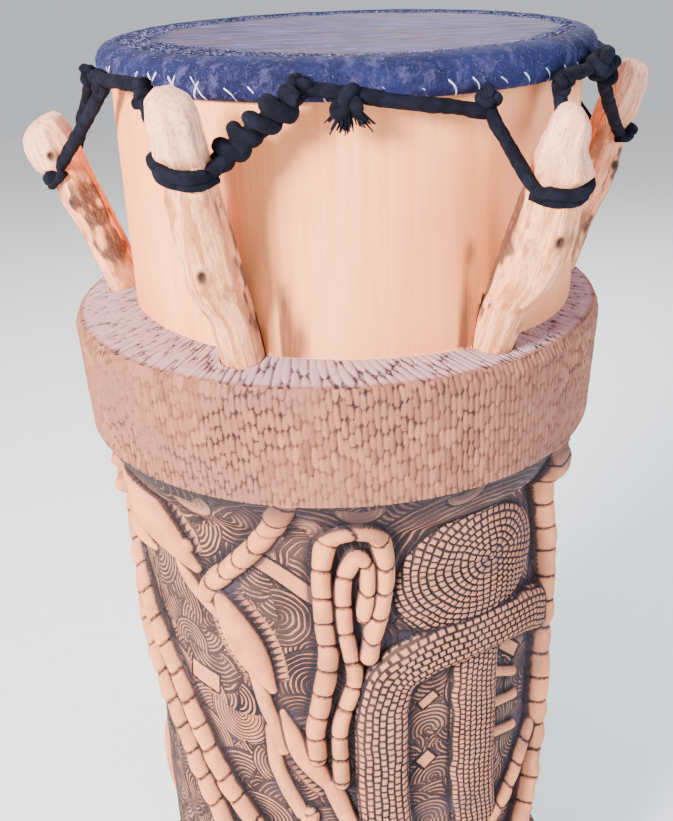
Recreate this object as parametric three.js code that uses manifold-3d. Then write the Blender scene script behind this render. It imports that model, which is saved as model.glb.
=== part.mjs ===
// A floor-standing hand drum: one carved log with a hide head, held down by a cord on five wooden pegs.
// Millimetres, +Z up. The origin is on the floor, under the axis of the plain upper shell.
// Azimuths are in degrees from the front (-Y), and grow towards +X.
import * as THREE from 'three';
import { mergeVertices } from 'three/addons/utils/BufferGeometryUtils.js';
import Module from 'manifold-3d';

const wasm = await Module();
wasm.setup();

// Driving dimensions
const HEAD_Z = 760; // playing surface above the floor
const SHELL_R = 146; // plain cylinder above the collar
const SHELL_MOUTH_R = 130; // bore at the bearing edge
const LOG_X = -11; // axis of the collar, stem and foot, beside the shell's axis
const STEM_R = 149; // ground of the carved stem
const COLLAR_R = 175.5;
const COLLAR_TOP = 602; // where the collar meets the shell
const COLLAR_FALL = 8; // how far the collar's top slopes down to its rim
const COLLAR_BOTTOM = 520;
const COLLAR_FOOT = 485; // where the bevel under the collar meets the stem
const FOOT_R = 168;
const FOOT_TOP = 70;
const BORE_X = -5.5; // the bore runs between the two axes
const BORE_R = 112;
const HIDE_THICKNESS = 1.4;
const HEM_R = 152.2; // outside of the hem, over its hoop
const HOOP_R = 149;
const HOOP_Z = HEAD_Z - 13.4;
const HOOP_WIRE_R = 1.2;
const LACE_R = 0.8;
const CORD_R = 4.2;
const GAP = 0.3; // between pieces that touch
const RUN_R = HEM_R + GAP + 2 * LACE_R + GAP + CORD_R; // the cord lies outside the lace
const HOLE_DEPTH = 44; // along the peg, below the collar's top
const PEG_TRAVEL_IN = 12; // how far a peg can still be driven in
const PEG_CLEARANCE = 0.5;
const PEG_TIP_R = 11.5; // the round part of a peg that fills its hole

// Pegs: where each one enters the collar and where its end stands, as azimuth, radius (and height);
// its radius at its widest, at its neck and at its end; how far up the neck is, where its cord lies;
// and hem, the azimuths where that cord meets the hem.
const PEGS = [
  {
    name: 'front_left', foot: [-26.2, 150], end: [-27.5, 190.7, 744],
    bodyR: 16, neckR: 15, endR: 15.5, loopAt: 119, hem: [-44, -20],
  },
  {
    name: 'front_right', foot: [32, 147], end: [35, 190.8, 728.4],
    bodyR: 19, neckR: 14.5, endR: 13, loopAt: 104, hem: [25.5, 45],
  },
  {
    name: 'right', foot: [100, 149.5], end: [103, 195, 723],
    bodyR: 16, neckR: 14, endR: 15, loopAt: 97, hem: [67, 120],
  },
  {
    name: 'rear', foot: [185, 150], end: [185, 174, 726],
    bodyR: 16, neckR: 14.5, endR: 16, loopAt: 92, hem: [171, 200],
  },
  {
    name: 'left', foot: [-92.4, 155], end: [-92.4, 193.5, 706],
    bodyR: 14, neckR: 14.5, endR: 15.5, loopAt: 82, hem: [-100, -64],
  },
];

// Carved relief on the stem, each form as a path of [azimuth, height] with its half width and rise.
const STRANDS = [
  { half: 7.5, rise: 7, path: [
    [-12, 518], [-16, 497], [-21, 478], [-28, 458], [-34, 442], [-37, 430]
  ] },
  { half: 6, rise: 8, path: [
    [-9, 316], [-8.7, 345], [-6.5, 372], [-5, 400], [-5.8, 440], [-5.6, 470], [-3.2, 488],
    [1.5, 495], [6.5, 489], [8.8, 470], [8.2, 445], [6.2, 420], [4.6, 400]
  ] },
  { half: 5, rise: 6, path: [
    [-3, 295], [-3, 335], [-1.6, 355], [1.2, 380], [0.2, 402], [-1, 425], [-0.8, 455], [1.8, 472],
    [4.6, 468], [4.8, 450], [3.6, 430]
  ] },
  { half: 8.5, rise: 9, path: [
    [-100, 500], [-88, 455], [-80, 425], [-70, 398], [-61, 375], [-53, 350], [-46, 322], [-40, 292],
    [-33, 262], [-26, 235], [-21, 205], [-19, 170], [-22, 130], [-27, 95], [-28, 72]
  ] },
  { half: 8.5, rise: 9, path: [
    [-104, 412], [-90, 392], [-80, 372], [-70, 350], [-61, 325], [-53, 300], [-44.5, 262],
    [-38, 232], [-34, 200], [-32, 165], [-36, 125], [-41, 95], [-42, 72]
  ] },
  { half: 8.5, rise: 9, path: [
    [54, 512], [57, 485], [60, 455], [62.5, 420], [63.5, 380], [63, 340], [62.5, 300], [62, 262],
    [59, 225], [55, 195], [52, 165], [51, 130], [53, 95], [53, 72]
  ] },
  { half: 7, rise: 7, path: [
    [65, 290], [61, 280], [55, 258], [49, 238], [42, 222], [35, 210], [29, 190], [27, 165],
    [30, 140], [32, 110], [30, 72]
  ] },
  { half: 7, rise: 7, path: [[-12, 262], [-12, 215], [-8, 180], [-8, 140], [-12, 105], [-12, 72]] },
  { half: 8, rise: 8, path: [
    [95, 512], [98, 480], [104, 445], [108, 405], [106, 365], [100, 330], [97, 290], [100, 250],
    [107, 215], [112, 175], [110, 130], [104, 95], [104, 72]
  ] },
  { half: 8, rise: 8, path: [
    [150, 515], [146, 485], [139, 455], [133, 425], [131, 390], [134, 355], [141, 325], [149, 295],
    [153, 260], [151, 220], [143, 185], [136, 150], [133, 115], [135, 72]
  ] },
  { half: 8, rise: 8, path: [
    [163, 515], [160, 485], [153, 452], [147, 422], [145, 392], [148, 360], [155, 330], [163, 300],
    [167, 262], [165, 218], [157, 180], [150, 145], [147, 112], [149, 72]
  ] },
  { half: 8, rise: 8, path: [
    [262, 512], [258, 480], [250, 452], [244, 420], [243, 385], [247, 350], [254, 318], [258, 280],
    [256, 240], [249, 205], [243, 170], [241, 130], [244, 95], [245, 72]
  ] },
];
const RODS = [
  { half: 6, rise: 5, path: [[-43, 460], [-45, 447], [-42, 434], [-37, 424], [-32, 416]] },
  { half: 6, rise: 5, path: [[-24, 378], [-22, 355], [-19.5, 335], [-18, 318]] },
  { half: 6, rise: 5, path: [[-20.5, 332], [-20, 305], [-18, 285], [-14, 262]] },
  { half: 7, rise: 6, path: [[-6, 292], [-3, 270], [0, 248]] },
  { half: 6, rise: 5, path: [[121, 445], [120, 420], [118, 392]] },
  { half: 6, rise: 5, path: [[117, 340], [119, 312], [124, 288]] },
  { half: 6, rise: 5, path: [[130, 236], [128, 212], [123, 186]] },
  { half: 4, rise: 5, path: [[41, 352], [49, 340]] },
  { half: 4, rise: 5, path: [[41, 325], [50, 318]] },
  { half: 4, rise: 5, path: [[41, 298], [50, 290]] },
];
const PODS = [
  { half: 13, rise: 10, path: [[-76, 490], [-60, 482], [-48, 472], [-39, 458]] },
  { half: 9, rise: 9, path: [[-84, 452], [-72, 442], [-60, 437]] },
  { half: 13, rise: 10, path: [[-34, 436], [-28, 410], [-24, 390], [-20, 366]] },
  { half: 9.5, rise: 9, path: [[-17.5, 348], [-13.5, 322], [-9, 302], [-4, 280]] },
  { half: 10, rise: 9, path: [[-1, 262], [4, 232], [5, 190]] },
  { half: 12, rise: 9, path: [[120, 505], [122, 470], [120, 435]] },
  { half: 12, rise: 9, path: [[118, 400], [119, 365], [116, 330]] },
  { half: 11, rise: 9, path: [[123, 296], [128, 262], [130, 226]] },
  { half: 11, rise: 9, path: [[123, 194], [121, 160], [118, 122]] },
  { half: 11, rise: 9, path: [[275, 340], [274, 305], [270, 268]] },
  { half: 11, rise: 9, path: [[268, 232], [270, 195], [275, 158]] },
];
const SCALED_LIMBS = [
  { half: 20, rise: 7, path: [
    [34, 388], [34, 345], [34, 310], [34, 275], [35, 240], [37, 205], [40, 170], [42, 140]
  ] },
  { half: 16, rise: 10, path: [
    [62.5, 374], [54, 386], [44, 393], [32, 396], [20, 394], [11, 382], [8, 360], [7.5, 330],
    [7.5, 295], [8, 262], [10, 230], [14, 200], [15, 172]
  ] },
  { half: 16, rise: 10, path: [
    [236, 404], [220, 394], [206, 388], [194, 376], [190, 350], [190, 310], [192, 270], [198, 235],
    [206, 205], [210, 165]
  ] },
];
const SCALED_DOMES = [
  { centre: [33, 448], halfWidth: 58, halfHeight: 46, rise: 9 },
  { centre: [214, 446], halfWidth: 54, halfHeight: 44, rise: 9 },
];
const RELIEF_SINK = 3; // how far the relief's underside lies inside the stem

// Places

function at(azimuth, radius, z, axisX = 0) {
  const angle = THREE.MathUtils.degToRad(azimuth);
  return new THREE.Vector3(axisX + radius * Math.sin(angle), -radius * Math.cos(angle), z);
}

function hemCurve(fromAzimuth, toAzimuth, fromZ, toZ, steps = 8) {
  const points = [];
  for (let i = 0; i <= steps; i += 1) {
    const t = i / steps;
    points.push(at(fromAzimuth + t * (toAzimuth - fromAzimuth), RUN_R, fromZ + t * (toZ - fromZ)));
  }
  return new THREE.CatmullRomCurve3(points);
}

// Closed solids

// A profile of [radius, z] points, from the bottom up the outside, turned about a vertical axis.
function turned(profile, segments, axisX = 0) {
  const points = profile.map(([radius, z]) => new THREE.Vector2(radius, z));
  const geometry = new THREE.LatheGeometry(points, segments);
  geometry.rotateX(Math.PI / 2);
  geometry.translate(axisX, 0, 0);
  return geometry;
}

// A capped bar, its section's point (x, z) at the fraction t of its length put in place by place().
function bar(steps, sides, place) {
  const geometry = new THREE.CylinderGeometry(1, 1, 1, sides, steps);
  const position = geometry.attributes.position;
  for (let i = 0; i < position.count; i += 1) {
    const point = place(position.getY(i) + 0.5, position.getX(i), position.getZ(i));
    position.setXYZ(i, point.x, point.y, point.z);
  }
  return geometry;
}

// A cord of one thickness along a curve.
function cord(curve, steps, sides = 8, radius = CORD_R) {
  const outline = [];
  for (let i = 0; i < sides; i += 1) {
    const angle = (2 * Math.PI * i) / sides;
    outline.push(new THREE.Vector2(radius * Math.cos(angle), radius * Math.sin(angle)));
  }
  const options = { extrudePath: curve, steps, bevelEnabled: false };
  return new THREE.ExtrudeGeometry(new THREE.Shape(outline), options);
}

// A round lump with its own half sizes, standing at an azimuth.
function lump(azimuth, radius, z, [along, out, up]) {
  const geometry = new THREE.SphereGeometry(1, 10, 7);
  geometry.rotateX(Math.PI / 2);
  geometry.scale(along, out, up);
  geometry.rotateZ(THREE.MathUtils.degToRad(azimuth));
  const place = at(azimuth, radius, z);
  geometry.translate(place.x, place.y, place.z);
  return geometry;
}

// Boolean work

function toSolid(geometry) {
  const bare = geometry.clone();
  bare.deleteAttribute('normal');
  bare.deleteAttribute('uv');
  const merged = mergeVertices(bare, 1e-4);
  const vertProperties = new Float32Array(merged.attributes.position.array);
  const triVerts = new Uint32Array(merged.index.array);
  return new wasm.Manifold(new wasm.Mesh({ numProp: 3, vertProperties, triVerts }));
}

function toGeometry(solid) {
  const mesh = solid.getMesh();
  const geometry = new THREE.BufferGeometry();
  geometry.setAttribute('position', new THREE.BufferAttribute(new Float32Array(mesh.vertProperties), 3));
  geometry.setIndex(new THREE.BufferAttribute(new Uint32Array(mesh.triVerts), 1));
  geometry.computeVertexNormals();
  return geometry;
}

// Relief

function stemCurve(path) {
  return new THREE.CatmullRomCurve3(path.map(([azimuth, z]) => at(azimuth, STEM_R, z, LOG_X)));
}

// A rounded ridge on the stem: width(t) scales its half width and rise along the path.
function ridge({ half, rise, path }, stepLength, sides, width) {
  const curve = stemCurve(path);
  const steps = Math.max(3, Math.round(curve.getLength() / stepLength));
  return bar(steps, sides, (t, x, z) => {
    const centre = curve.getPointAt(t);
    const along = curve.getTangentAt(t);
    const out = new THREE.Vector3(centre.x - LOG_X, centre.y, 0).normalize();
    const across = new THREE.Vector3().crossVectors(along, out).normalize();
    const lift = z * (rise * width(t) + RELIEF_SINK) - RELIEF_SINK;
    return centre.addScaledVector(across, x * half * width(t)).addScaledVector(out, lift);
  });
}

function scaledDome({ centre, halfWidth, halfHeight, rise }) {
  const geometry = new THREE.SphereGeometry(1, 14, 6);
  const position = geometry.attributes.position;
  for (let i = 0; i < position.count; i += 1) {
    const azimuth = centre[0] + THREE.MathUtils.radToDeg((position.getX(i) * halfWidth) / STEM_R);
    const lift = position.getZ(i) * (rise + RELIEF_SINK) - RELIEF_SINK;
    const point = at(azimuth, STEM_R + lift, centre[1] + position.getY(i) * halfHeight, LOG_X);
    position.setXYZ(i, point.x, point.y, point.z);
  }
  return geometry;
}

function reliefPieces() {
  const constant = () => 1;
  const pod = (t) => 0.3 + 0.7 * Math.sin(Math.PI * t);
  return [
    ...STRANDS.map((strand) => ridge(strand, 34, 5, constant)),
    ...RODS.map((rod) => ridge(rod, 30, 5, constant)),
    ...PODS.map((seed) => ridge(seed, 17, 6, pod)),
    ...SCALED_LIMBS.map((limb) => ridge(limb, 36, 6, constant)),
    ...SCALED_DOMES.map(scaledDome),
  ];
}

// Pegs

function pegFrame(peg) {
  const foot = at(peg.foot[0], peg.foot[1], COLLAR_TOP);
  const end = at(...peg.end);
  const axis = new THREE.Vector3().subVectors(end, foot);
  const length = axis.length();
  axis.normalize();
  const side = new THREE.Vector3().crossVectors(new THREE.Vector3(0, 0, 1), axis).normalize();
  const out = new THREE.Vector3().crossVectors(axis, side).negate();
  return { foot, axis, side, out, length };
}

// Radius of a peg at a distance s up from the collar's top; below it the peg is a plain round pin.
function pegProfile(peg, length) {
  const straight = PEG_TRAVEL_IN + 6;
  return [
    [-HOLE_DEPTH + PEG_TRAVEL_IN + 2, PEG_TIP_R - 2.5],
    [-HOLE_DEPTH + PEG_TRAVEL_IN + 6, PEG_TIP_R],
    [straight, PEG_TIP_R],
    [straight + 26, peg.bodyR - 1],
    [straight + 46, peg.bodyR],
    [peg.loopAt, peg.neckR],
    [length - 20, peg.endR],
    [length - 6, peg.endR - 0.5],
    [length + 4, peg.endR - 4.5],
    [length + 8, peg.endR - 10],
  ];
}

// The body's inner side stays in line with the pin, so the peg swells only away from the shell.
function pegShape(peg, grow = 0, slide = 0) {
  const { foot, axis, side, out, length } = pegFrame(peg);
  const stations = pegProfile(peg, length);
  return bar(stations.length - 1, 14, (t, x, z) => {
    const [s, radius] = stations[Math.round(t * (stations.length - 1))];
    const swell = s < length - 20 ? Math.max(0, radius - PEG_TIP_R) : peg.endR - PEG_TIP_R;
    return foot.clone()
      .addScaledVector(axis, s + slide + (t === 0 ? -grow : 0))
      .addScaledVector(side, x * (radius + grow))
      .addScaledVector(out, z * (radius + grow) + swell);
  });
}

// The drum's log

function log() {
  const shell = turned([
    [0, COLLAR_TOP - 60], [SHELL_R, COLLAR_TOP - 60], [SHELL_R, HEAD_Z - 8], [SHELL_R - 2, HEAD_Z - 3.8],
    [SHELL_R - 6, HEAD_Z - 1.8], [0, HEAD_Z - 1.8],
  ], 64);
  const stem = turned([
    [0, 0], [FOOT_R - 3, 0], [FOOT_R, 4], [FOOT_R, FOOT_TOP - 6], [FOOT_R - 6, FOOT_TOP + 2],
    [STEM_R, FOOT_TOP + 18], [STEM_R, COLLAR_FOOT], [STEM_R + 7, COLLAR_FOOT + 8],
    [COLLAR_R - 12, COLLAR_BOTTOM - 14], [COLLAR_R - 3, COLLAR_BOTTOM],
    [COLLAR_R, COLLAR_TOP - COLLAR_FALL - 6], [COLLAR_R - 3, COLLAR_TOP - COLLAR_FALL],
    [SHELL_R - 14, COLLAR_TOP], [0, COLLAR_TOP],
  ], 64, LOG_X);
  const bore = turned([
    [0, -1], [BORE_R + 5, -1], [BORE_R, 5], [BORE_R, COLLAR_TOP + 10], [0, COLLAR_TOP + 10],
  ], 40, BORE_X);
  const mouth = turned([
    [0, COLLAR_TOP - 5], [BORE_R - 12, COLLAR_TOP - 5], [SHELL_MOUTH_R, COLLAR_TOP + 45],
    [SHELL_MOUTH_R, HEAD_Z - 9], [SHELL_MOUTH_R + 4, HEAD_Z], [0, HEAD_Z],
  ], 40);
  let solid = toSolid(shell).add(toSolid(stem));
  for (const piece of reliefPieces()) {
    solid = solid.add(toSolid(piece));
  }
  solid = solid.subtract(toSolid(bore)).subtract(toSolid(mouth));
  for (const peg of PEGS) {
    solid = solid.subtract(toSolid(pegShape(peg, PEG_CLEARANCE, -PEG_TRAVEL_IN)));
    solid = solid.subtract(toSolid(pegShape(peg, PEG_CLEARANCE)));
  }
  return toGeometry(solid);
}

// The head

// The hide crosses the top, turns down over the hoop, and is tucked up between the hem and the shell.
function hide() {
  const t = HIDE_THICKNESS;
  return turned([
    [0, HEAD_Z - t], [139.8, HEAD_Z - t], [146.6, HEAD_Z - 3.1], [150.3, HEAD_Z - 8.5],
    [150.5, HEAD_Z - 13.7], [149.2, HEAD_Z - 16.3], [147.6, HEAD_Z - 16.3], [147.5, HEAD_Z - 8.5],
    [146.5, HEAD_Z - 8.5], [147, HEAD_Z - 17.4], [149.8, HEAD_Z - 18.2],
    [HEM_R - 0.4, HEAD_Z - 15.2], [HEM_R - 0.4, HEAD_Z - 9.5], [148.6, HEAD_Z - 2.7], [140, HEAD_Z],
    [0, HEAD_Z],
  ], 48);
}

function hoop() {
  const profile = [];
  for (let i = 0; i <= 6; i += 1) {
    const angle = (2 * Math.PI * (i % 6)) / 6;
    profile.push([HOOP_R + HOOP_WIRE_R * Math.cos(angle), HOOP_Z + HOOP_WIRE_R * Math.sin(angle)]);
  }
  return turned(profile, 48);
}

// The lace zigzags round the lower half of the hem; its two ends meet at the back.
function lace() {
  const corners = 120;
  return bar(corners - 1, 4, (t, x, z) => {
    const i = Math.round(t * (corners - 1));
    const height = HEAD_Z - (i % 2 === 0 ? 18 : 10);
    const thickness = 1.5 * LACE_R; // measured upright, across a slanting stitch
    return at(180 + (360 * (i + 0.2)) / corners, HEM_R + GAP + LACE_R * (1 + z), height - x * thickness);
  });
}

// The cord

// One loop: from the hem, down beside the peg, round the outer side of its neck and back up to the hem.
function loop(peg) {
  const { foot, axis, side, out } = pegFrame(peg);
  const widest = Math.max(peg.neckR, peg.endR);
  const reach = widest + CORD_R + 1.4;
  const swell = widest - PEG_TIP_R;
  const centre = foot.clone().addScaledVector(axis, peg.loopAt).addScaledVector(out, swell);
  const round = [-1, -0.5, 0, 0.5, 1].map((turn) => {
    const angle = (turn * Math.PI) / 2;
    return centre.clone()
      .addScaledVector(side, Math.sin(angle) * reach)
      .addScaledVector(out, Math.cos(angle) * reach);
  });
  const hemZ = HEAD_Z - 25;
  const left = at(peg.hem[0], RUN_R - 1, hemZ);
  const right = at(peg.hem[1], RUN_R - 1, hemZ);
  const points = [left, ...round, right];
  return cord(new THREE.CatmullRomCurve3(points, false, 'centripetal'), 20);
}

// Half hitches: a thick bumpy stretch of cord from the front left loop up to the hem.
function hitchChain() {
  const curve = new THREE.CatmullRomCurve3([
    at(-15.5, RUN_R + 9, HEAD_Z - 25), at(-12, RUN_R + 7, HEAD_Z - 19), at(-8.5, RUN_R + 6, HEAD_Z - 13),
  ]);
  return bar(16, 8, (t, x, z) => {
    const centre = curve.getPointAt(t);
    const along = curve.getTangentAt(t);
    const out = new THREE.Vector3(centre.x, centre.y, 0).normalize();
    const across = new THREE.Vector3().crossVectors(along, out).normalize();
    const radius = 6.2 + 1.8 * Math.cos(8 * Math.PI * t);
    return centre.addScaledVector(across, x * radius).addScaledVector(out, z * radius);
  });
}

// Materials and the assembly

const COLOURS = {
  log: { color: 0xd9a982, roughness: 0.75 },
  peg: { color: 0xe2bd98, roughness: 0.7 },
  hide: { color: 0x2c2a4a, roughness: 0.85 },
  iron: { color: 0x4a4644, roughness: 0.5, metalness: 0.9 },
  lace: { color: 0xe8e4dc, roughness: 0.8 },
  cord: { color: 0x15161f, roughness: 0.95 },
};

const group = new THREE.Group();

function addPiece(name, geometry, look) {
  const mesh = new THREE.Mesh(geometry, new THREE.MeshStandardMaterial(COLOURS[look]));
  mesh.name = name;
  group.add(mesh);
}

addPiece('drum_body', log(), 'log');
addPiece('drum_hide', hide(), 'hide');
addPiece('hem_hoop', hoop(), 'iron');
addPiece('hem_lace', lace(), 'lace');
for (const peg of PEGS) {
  addPiece(`peg_${peg.name}`, pegShape(peg), 'peg');
  addPiece(`cord_loop_${peg.name}`, loop(peg), 'cord');
}
addPiece('cord_hitch_chain', hitchChain(), 'cord');
addPiece('cord_run_front', cord(hemCurve(-7, 22.5, HEAD_Z - 11, HEAD_Z - 25), 12), 'cord');
addPiece('cord_run_right', cord(hemCurve(45, 54, HEAD_Z - 17, HEAD_Z - 16, 4), 4), 'cord');
addPiece('cord_run_rear_right', cord(hemCurve(70, 171, HEAD_Z - 16, HEAD_Z - 15, 16), 24), 'cord');
addPiece('cord_run_rear_left', cord(hemCurve(200, 259, HEAD_Z - 15, HEAD_Z - 14), 14), 'cord');
addPiece('cord_run_left', cord(hemCurve(-61, -44, HEAD_Z - 14, HEAD_Z - 13), 6), 'cord');
addPiece('cord_knot_right', lump(62, RUN_R + 4, HEAD_Z - 17, [15, 8, 9]), 'cord');
addPiece('cord_end_tuft', lump(-1.5, RUN_R + 5, HEAD_Z - 27, [13, 7, 8]), 'cord');

export default group;
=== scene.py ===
"""Looks for a carved floor drum: one log, a hide head, and a black cord on five wooden pegs.

Lengths are millimetres until a mesh is made, and azimuths are degrees from the front (-Y) towards +X,
both as in the CAD part. The carved stem is a height field over (azimuth, height): its raised forms,
scale rows and hatching are worked out from the paths below.
"""
import math

import bpy
import numpy as np
from mathutils import Matrix, Vector


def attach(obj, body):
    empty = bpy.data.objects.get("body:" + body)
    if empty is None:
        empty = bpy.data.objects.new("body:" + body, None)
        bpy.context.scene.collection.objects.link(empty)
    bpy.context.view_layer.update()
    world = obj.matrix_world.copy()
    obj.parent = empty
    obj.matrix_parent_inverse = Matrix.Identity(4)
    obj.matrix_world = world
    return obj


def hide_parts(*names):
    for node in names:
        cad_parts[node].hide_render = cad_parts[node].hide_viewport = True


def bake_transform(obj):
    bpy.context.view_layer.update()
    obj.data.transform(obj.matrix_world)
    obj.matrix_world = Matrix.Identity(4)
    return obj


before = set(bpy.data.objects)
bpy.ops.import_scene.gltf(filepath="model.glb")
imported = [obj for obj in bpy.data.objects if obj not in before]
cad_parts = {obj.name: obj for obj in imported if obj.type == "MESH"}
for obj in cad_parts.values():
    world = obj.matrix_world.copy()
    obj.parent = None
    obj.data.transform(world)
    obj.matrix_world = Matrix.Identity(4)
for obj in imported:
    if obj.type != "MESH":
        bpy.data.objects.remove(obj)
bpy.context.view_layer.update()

MM = 0.001
HEAD_Z = 760.0
SHELL_R = 146.0
SHELL_MOUTH_R = 130.0
LOG_X = -11.0
STEM_R = 149.0
COLLAR_R = 175.5
COLLAR_TOP = 602.0
COLLAR_BOTTOM = 520.0
COLLAR_FOOT = 485.0
FOOT_R = 168.0
FOOT_TOP = 70.0
BORE_X = -5.5
BORE_R = 112.0
HIDE_TOP = HEAD_Z - 0.3
HIDE_THICKNESS = 1.3
LACE_R = 0.8
STITCHES = 58
HAIRS = 17000
CORD_R = 4.2
RUN_R = 158.6
PEG_TIP_R = 11.5
PEG_SIDES = 96
PEG_FACETS = 8
HOLE_R = PEG_TIP_R + 2.0
HOLE_DEPTH = 44.0
CARVED_BASE = 66.0
ROW_STEP = 0.9
CARVED_ROWS = int((COLLAR_BOTTOM - CARVED_BASE) / ROW_STEP) + 1
COLUMNS = 1500
SMOOTH_COLUMNS = 480
THORN_LENGTH = 9.0
GOUGES_ROUND = 300
FLOOR = 4000.0
CAMERA_AT = (-0.01379, -0.68978, 0.82332)
CAMERA_RIGHT = Vector((0.99937, -0.01500, -0.03203))
CAMERA_UP = Vector((0.03537, 0.42388, 0.90503))
CAMERA_LENS = 46.12
TURN = 2 * math.pi
UP = np.array([0, 0, 1.0])

# Pegs: foot and end as azimuth, radius (and height); radii at the widest, at the neck where the cord lies,
# at the shoulder above it and at the end; how far up the cord lies, and how its band tilts across the peg
# and towards the drum; azimuths and heights of the cord on the hem; a seed for its grain; turns of the
# split side, if any, and of the bark strip; and knots as (turn, height).
PEGS = [
    dict(name="front_left", foot=(-26.2, 150), end=(-27.5, 190.7, 744),
         body_r=17.2, neck_r=13, shoulder_r=14.6, end_r=14.2, loop_at=119, tilt=(4, 0),
         hem=(-44, -9.5), hem_z=(735, 745), seed=3, wedge=None, bark=2.6, knots=[(0.4, 64), (-0.9, 98)]),
    dict(name="front_right", foot=(32, 147), end=(35, 190.8, 728.4),
         body_r=19, neck_r=14.4, shoulder_r=16.4, end_r=11.6, loop_at=103, tilt=(-2, 0),
         hem=(25.5, 45), hem_z=(735, 735), seed=5, wedge=1.35, bark=3.6, knots=[(-0.5, 78)]),
    dict(name="right", foot=(100, 149.5), end=(103, 195, 723),
         body_r=15.4, neck_r=13.2, shoulder_r=15, end_r=14.6, loop_at=97, tilt=(0, -5),
         hem=(67, 120), hem_z=(738, 738), seed=7, wedge=None, bark=-0.5, knots=[(-1.4, 70)]),
    dict(name="rear", foot=(185, 150), end=(185, 174, 726),
         body_r=15.5, neck_r=13.4, shoulder_r=15, end_r=15, loop_at=92, tilt=(2, 0),
         hem=(171, 200), hem_z=(738, 738), seed=9, wedge=None, bark=1.0, knots=[(0.3, 60)]),
    dict(name="left", foot=(-92.4, 155), end=(-92.4, 193.5, 706),
         body_r=13.8, neck_r=13.2, shoulder_r=16.6, end_r=16.8, loop_at=82, tilt=(0, 6),
         hem=(-82, -62), hem_z=(738, 740), seed=11, wedge=None, bark=2.1, knots=[(1.3, 62), (1.7, 96)]),
]

# Raised forms on the stem: paths of (azimuth, height), half width, rise and length of one segment.
CANES = [
    dict(half=8, rise=17, period=18, path=[
        (-80, 481), (-93, 486), (-106, 482), (-111, 472), (-106, 463), (-94, 460), (-81, 460)]),
    dict(half=7.5, rise=7.5, period=17, path=[
        (-12, 518), (-16, 497), (-21, 478), (-28, 458), (-34, 442), (-37, 430)]),
    dict(half=7, rise=10, period=19, path=[
        (-9, 316), (-8.7, 345), (-6.5, 372), (-5, 400), (-5.8, 440), (-5.6, 470), (-3.2, 488), (1.5, 495),
        (6.5, 489), (8.8, 470), (8.2, 445), (6.2, 420), (4.6, 400)]),
    dict(half=6, rise=9.5, period=21, path=[
        (-3, 295), (-3, 335), (-1.6, 355), (1.2, 380), (0.2, 402), (-1, 425), (-0.8, 455), (1.8, 472),
        (4.6, 468), (4.8, 450), (3.6, 430)]),
    dict(half=8.5, rise=11, period=20, path=[
        (-100, 500), (-88, 455), (-80, 425), (-70, 398), (-61, 375), (-53, 350), (-46, 322), (-40, 292),
        (-33, 262), (-26, 235), (-21, 205), (-19, 170), (-22, 130), (-27, 95), (-28, 72)]),
    dict(half=8.5, rise=11, period=20, path=[
        (-104, 412), (-90, 392), (-80, 372), (-70, 350), (-61, 325), (-53, 300), (-44.5, 262), (-38, 232),
        (-34, 200), (-32, 165), (-36, 125), (-41, 95), (-42, 72)]),
    dict(half=10, rise=15, period=22, path=[
        (51, 530), (54, 512), (57, 485), (60, 455), (62.5, 420), (63.5, 380), (63, 340), (62.5, 300),
        (62, 262), (59, 225), (55, 195), (52, 165), (51, 130), (53, 95), (53, 72)]),
    dict(half=7.5, rise=9, period=17, path=[
        (65, 290), (61, 280), (55, 258), (49, 238), (42, 222), (35, 210), (29, 190), (27, 165), (30, 140),
        (32, 110), (30, 72)]),
    dict(half=7, rise=7, period=18, path=[
        (-12, 262), (-12, 215), (-8, 180), (-8, 140), (-12, 105), (-12, 72)]),
    dict(half=8, rise=8, period=20, path=[
        (95, 512), (98, 480), (104, 445), (108, 405), (106, 365), (100, 330), (97, 290), (100, 250),
        (107, 215), (112, 175), (110, 130), (104, 95), (104, 72)]),
    dict(half=8, rise=8, period=19, path=[
        (150, 515), (146, 485), (139, 455), (133, 425), (131, 390), (134, 355), (141, 325), (149, 295),
        (153, 260), (151, 220), (143, 185), (136, 150), (133, 115), (135, 72)]),
    dict(half=8, rise=8, period=19, path=[
        (163, 515), (160, 485), (153, 452), (147, 422), (145, 392), (148, 360), (155, 330), (163, 300),
        (167, 262), (165, 218), (157, 180), (150, 145), (147, 112), (149, 72)]),
    dict(half=8, rise=8, period=21, path=[
        (262, 512), (258, 480), (250, 452), (244, 420), (243, 385), (247, 350), (254, 318), (258, 280),
        (256, 240), (249, 205), (243, 170), (241, 130), (244, 95), (245, 72)]),
]
RODS = [
    dict(half=6, rise=6, path=[(-43, 460), (-45, 447), (-42, 434), (-37, 424), (-32, 416)]),
    dict(half=6, rise=6, path=[(-24, 378), (-22, 355), (-19.5, 335), (-18, 318)]),
    dict(half=6, rise=6, path=[(-20.5, 332), (-20, 305), (-18, 285), (-14, 262)]),
    dict(half=7, rise=6.5, path=[(-6, 292), (-3, 270), (0, 248)]),
    dict(half=6, rise=5, path=[(121, 445), (120, 420), (118, 392)]),
    dict(half=6, rise=5, path=[(117, 340), (119, 312), (124, 288)]),
    dict(half=6, rise=5, path=[(130, 236), (128, 212), (123, 186)]),
    dict(half=4, rise=5, path=[(41, 352), (49, 340)]),
    dict(half=4, rise=5, path=[(41, 325), (50, 318)]),
    dict(half=4, rise=5, path=[(41, 298), (50, 290)]),
]
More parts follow.
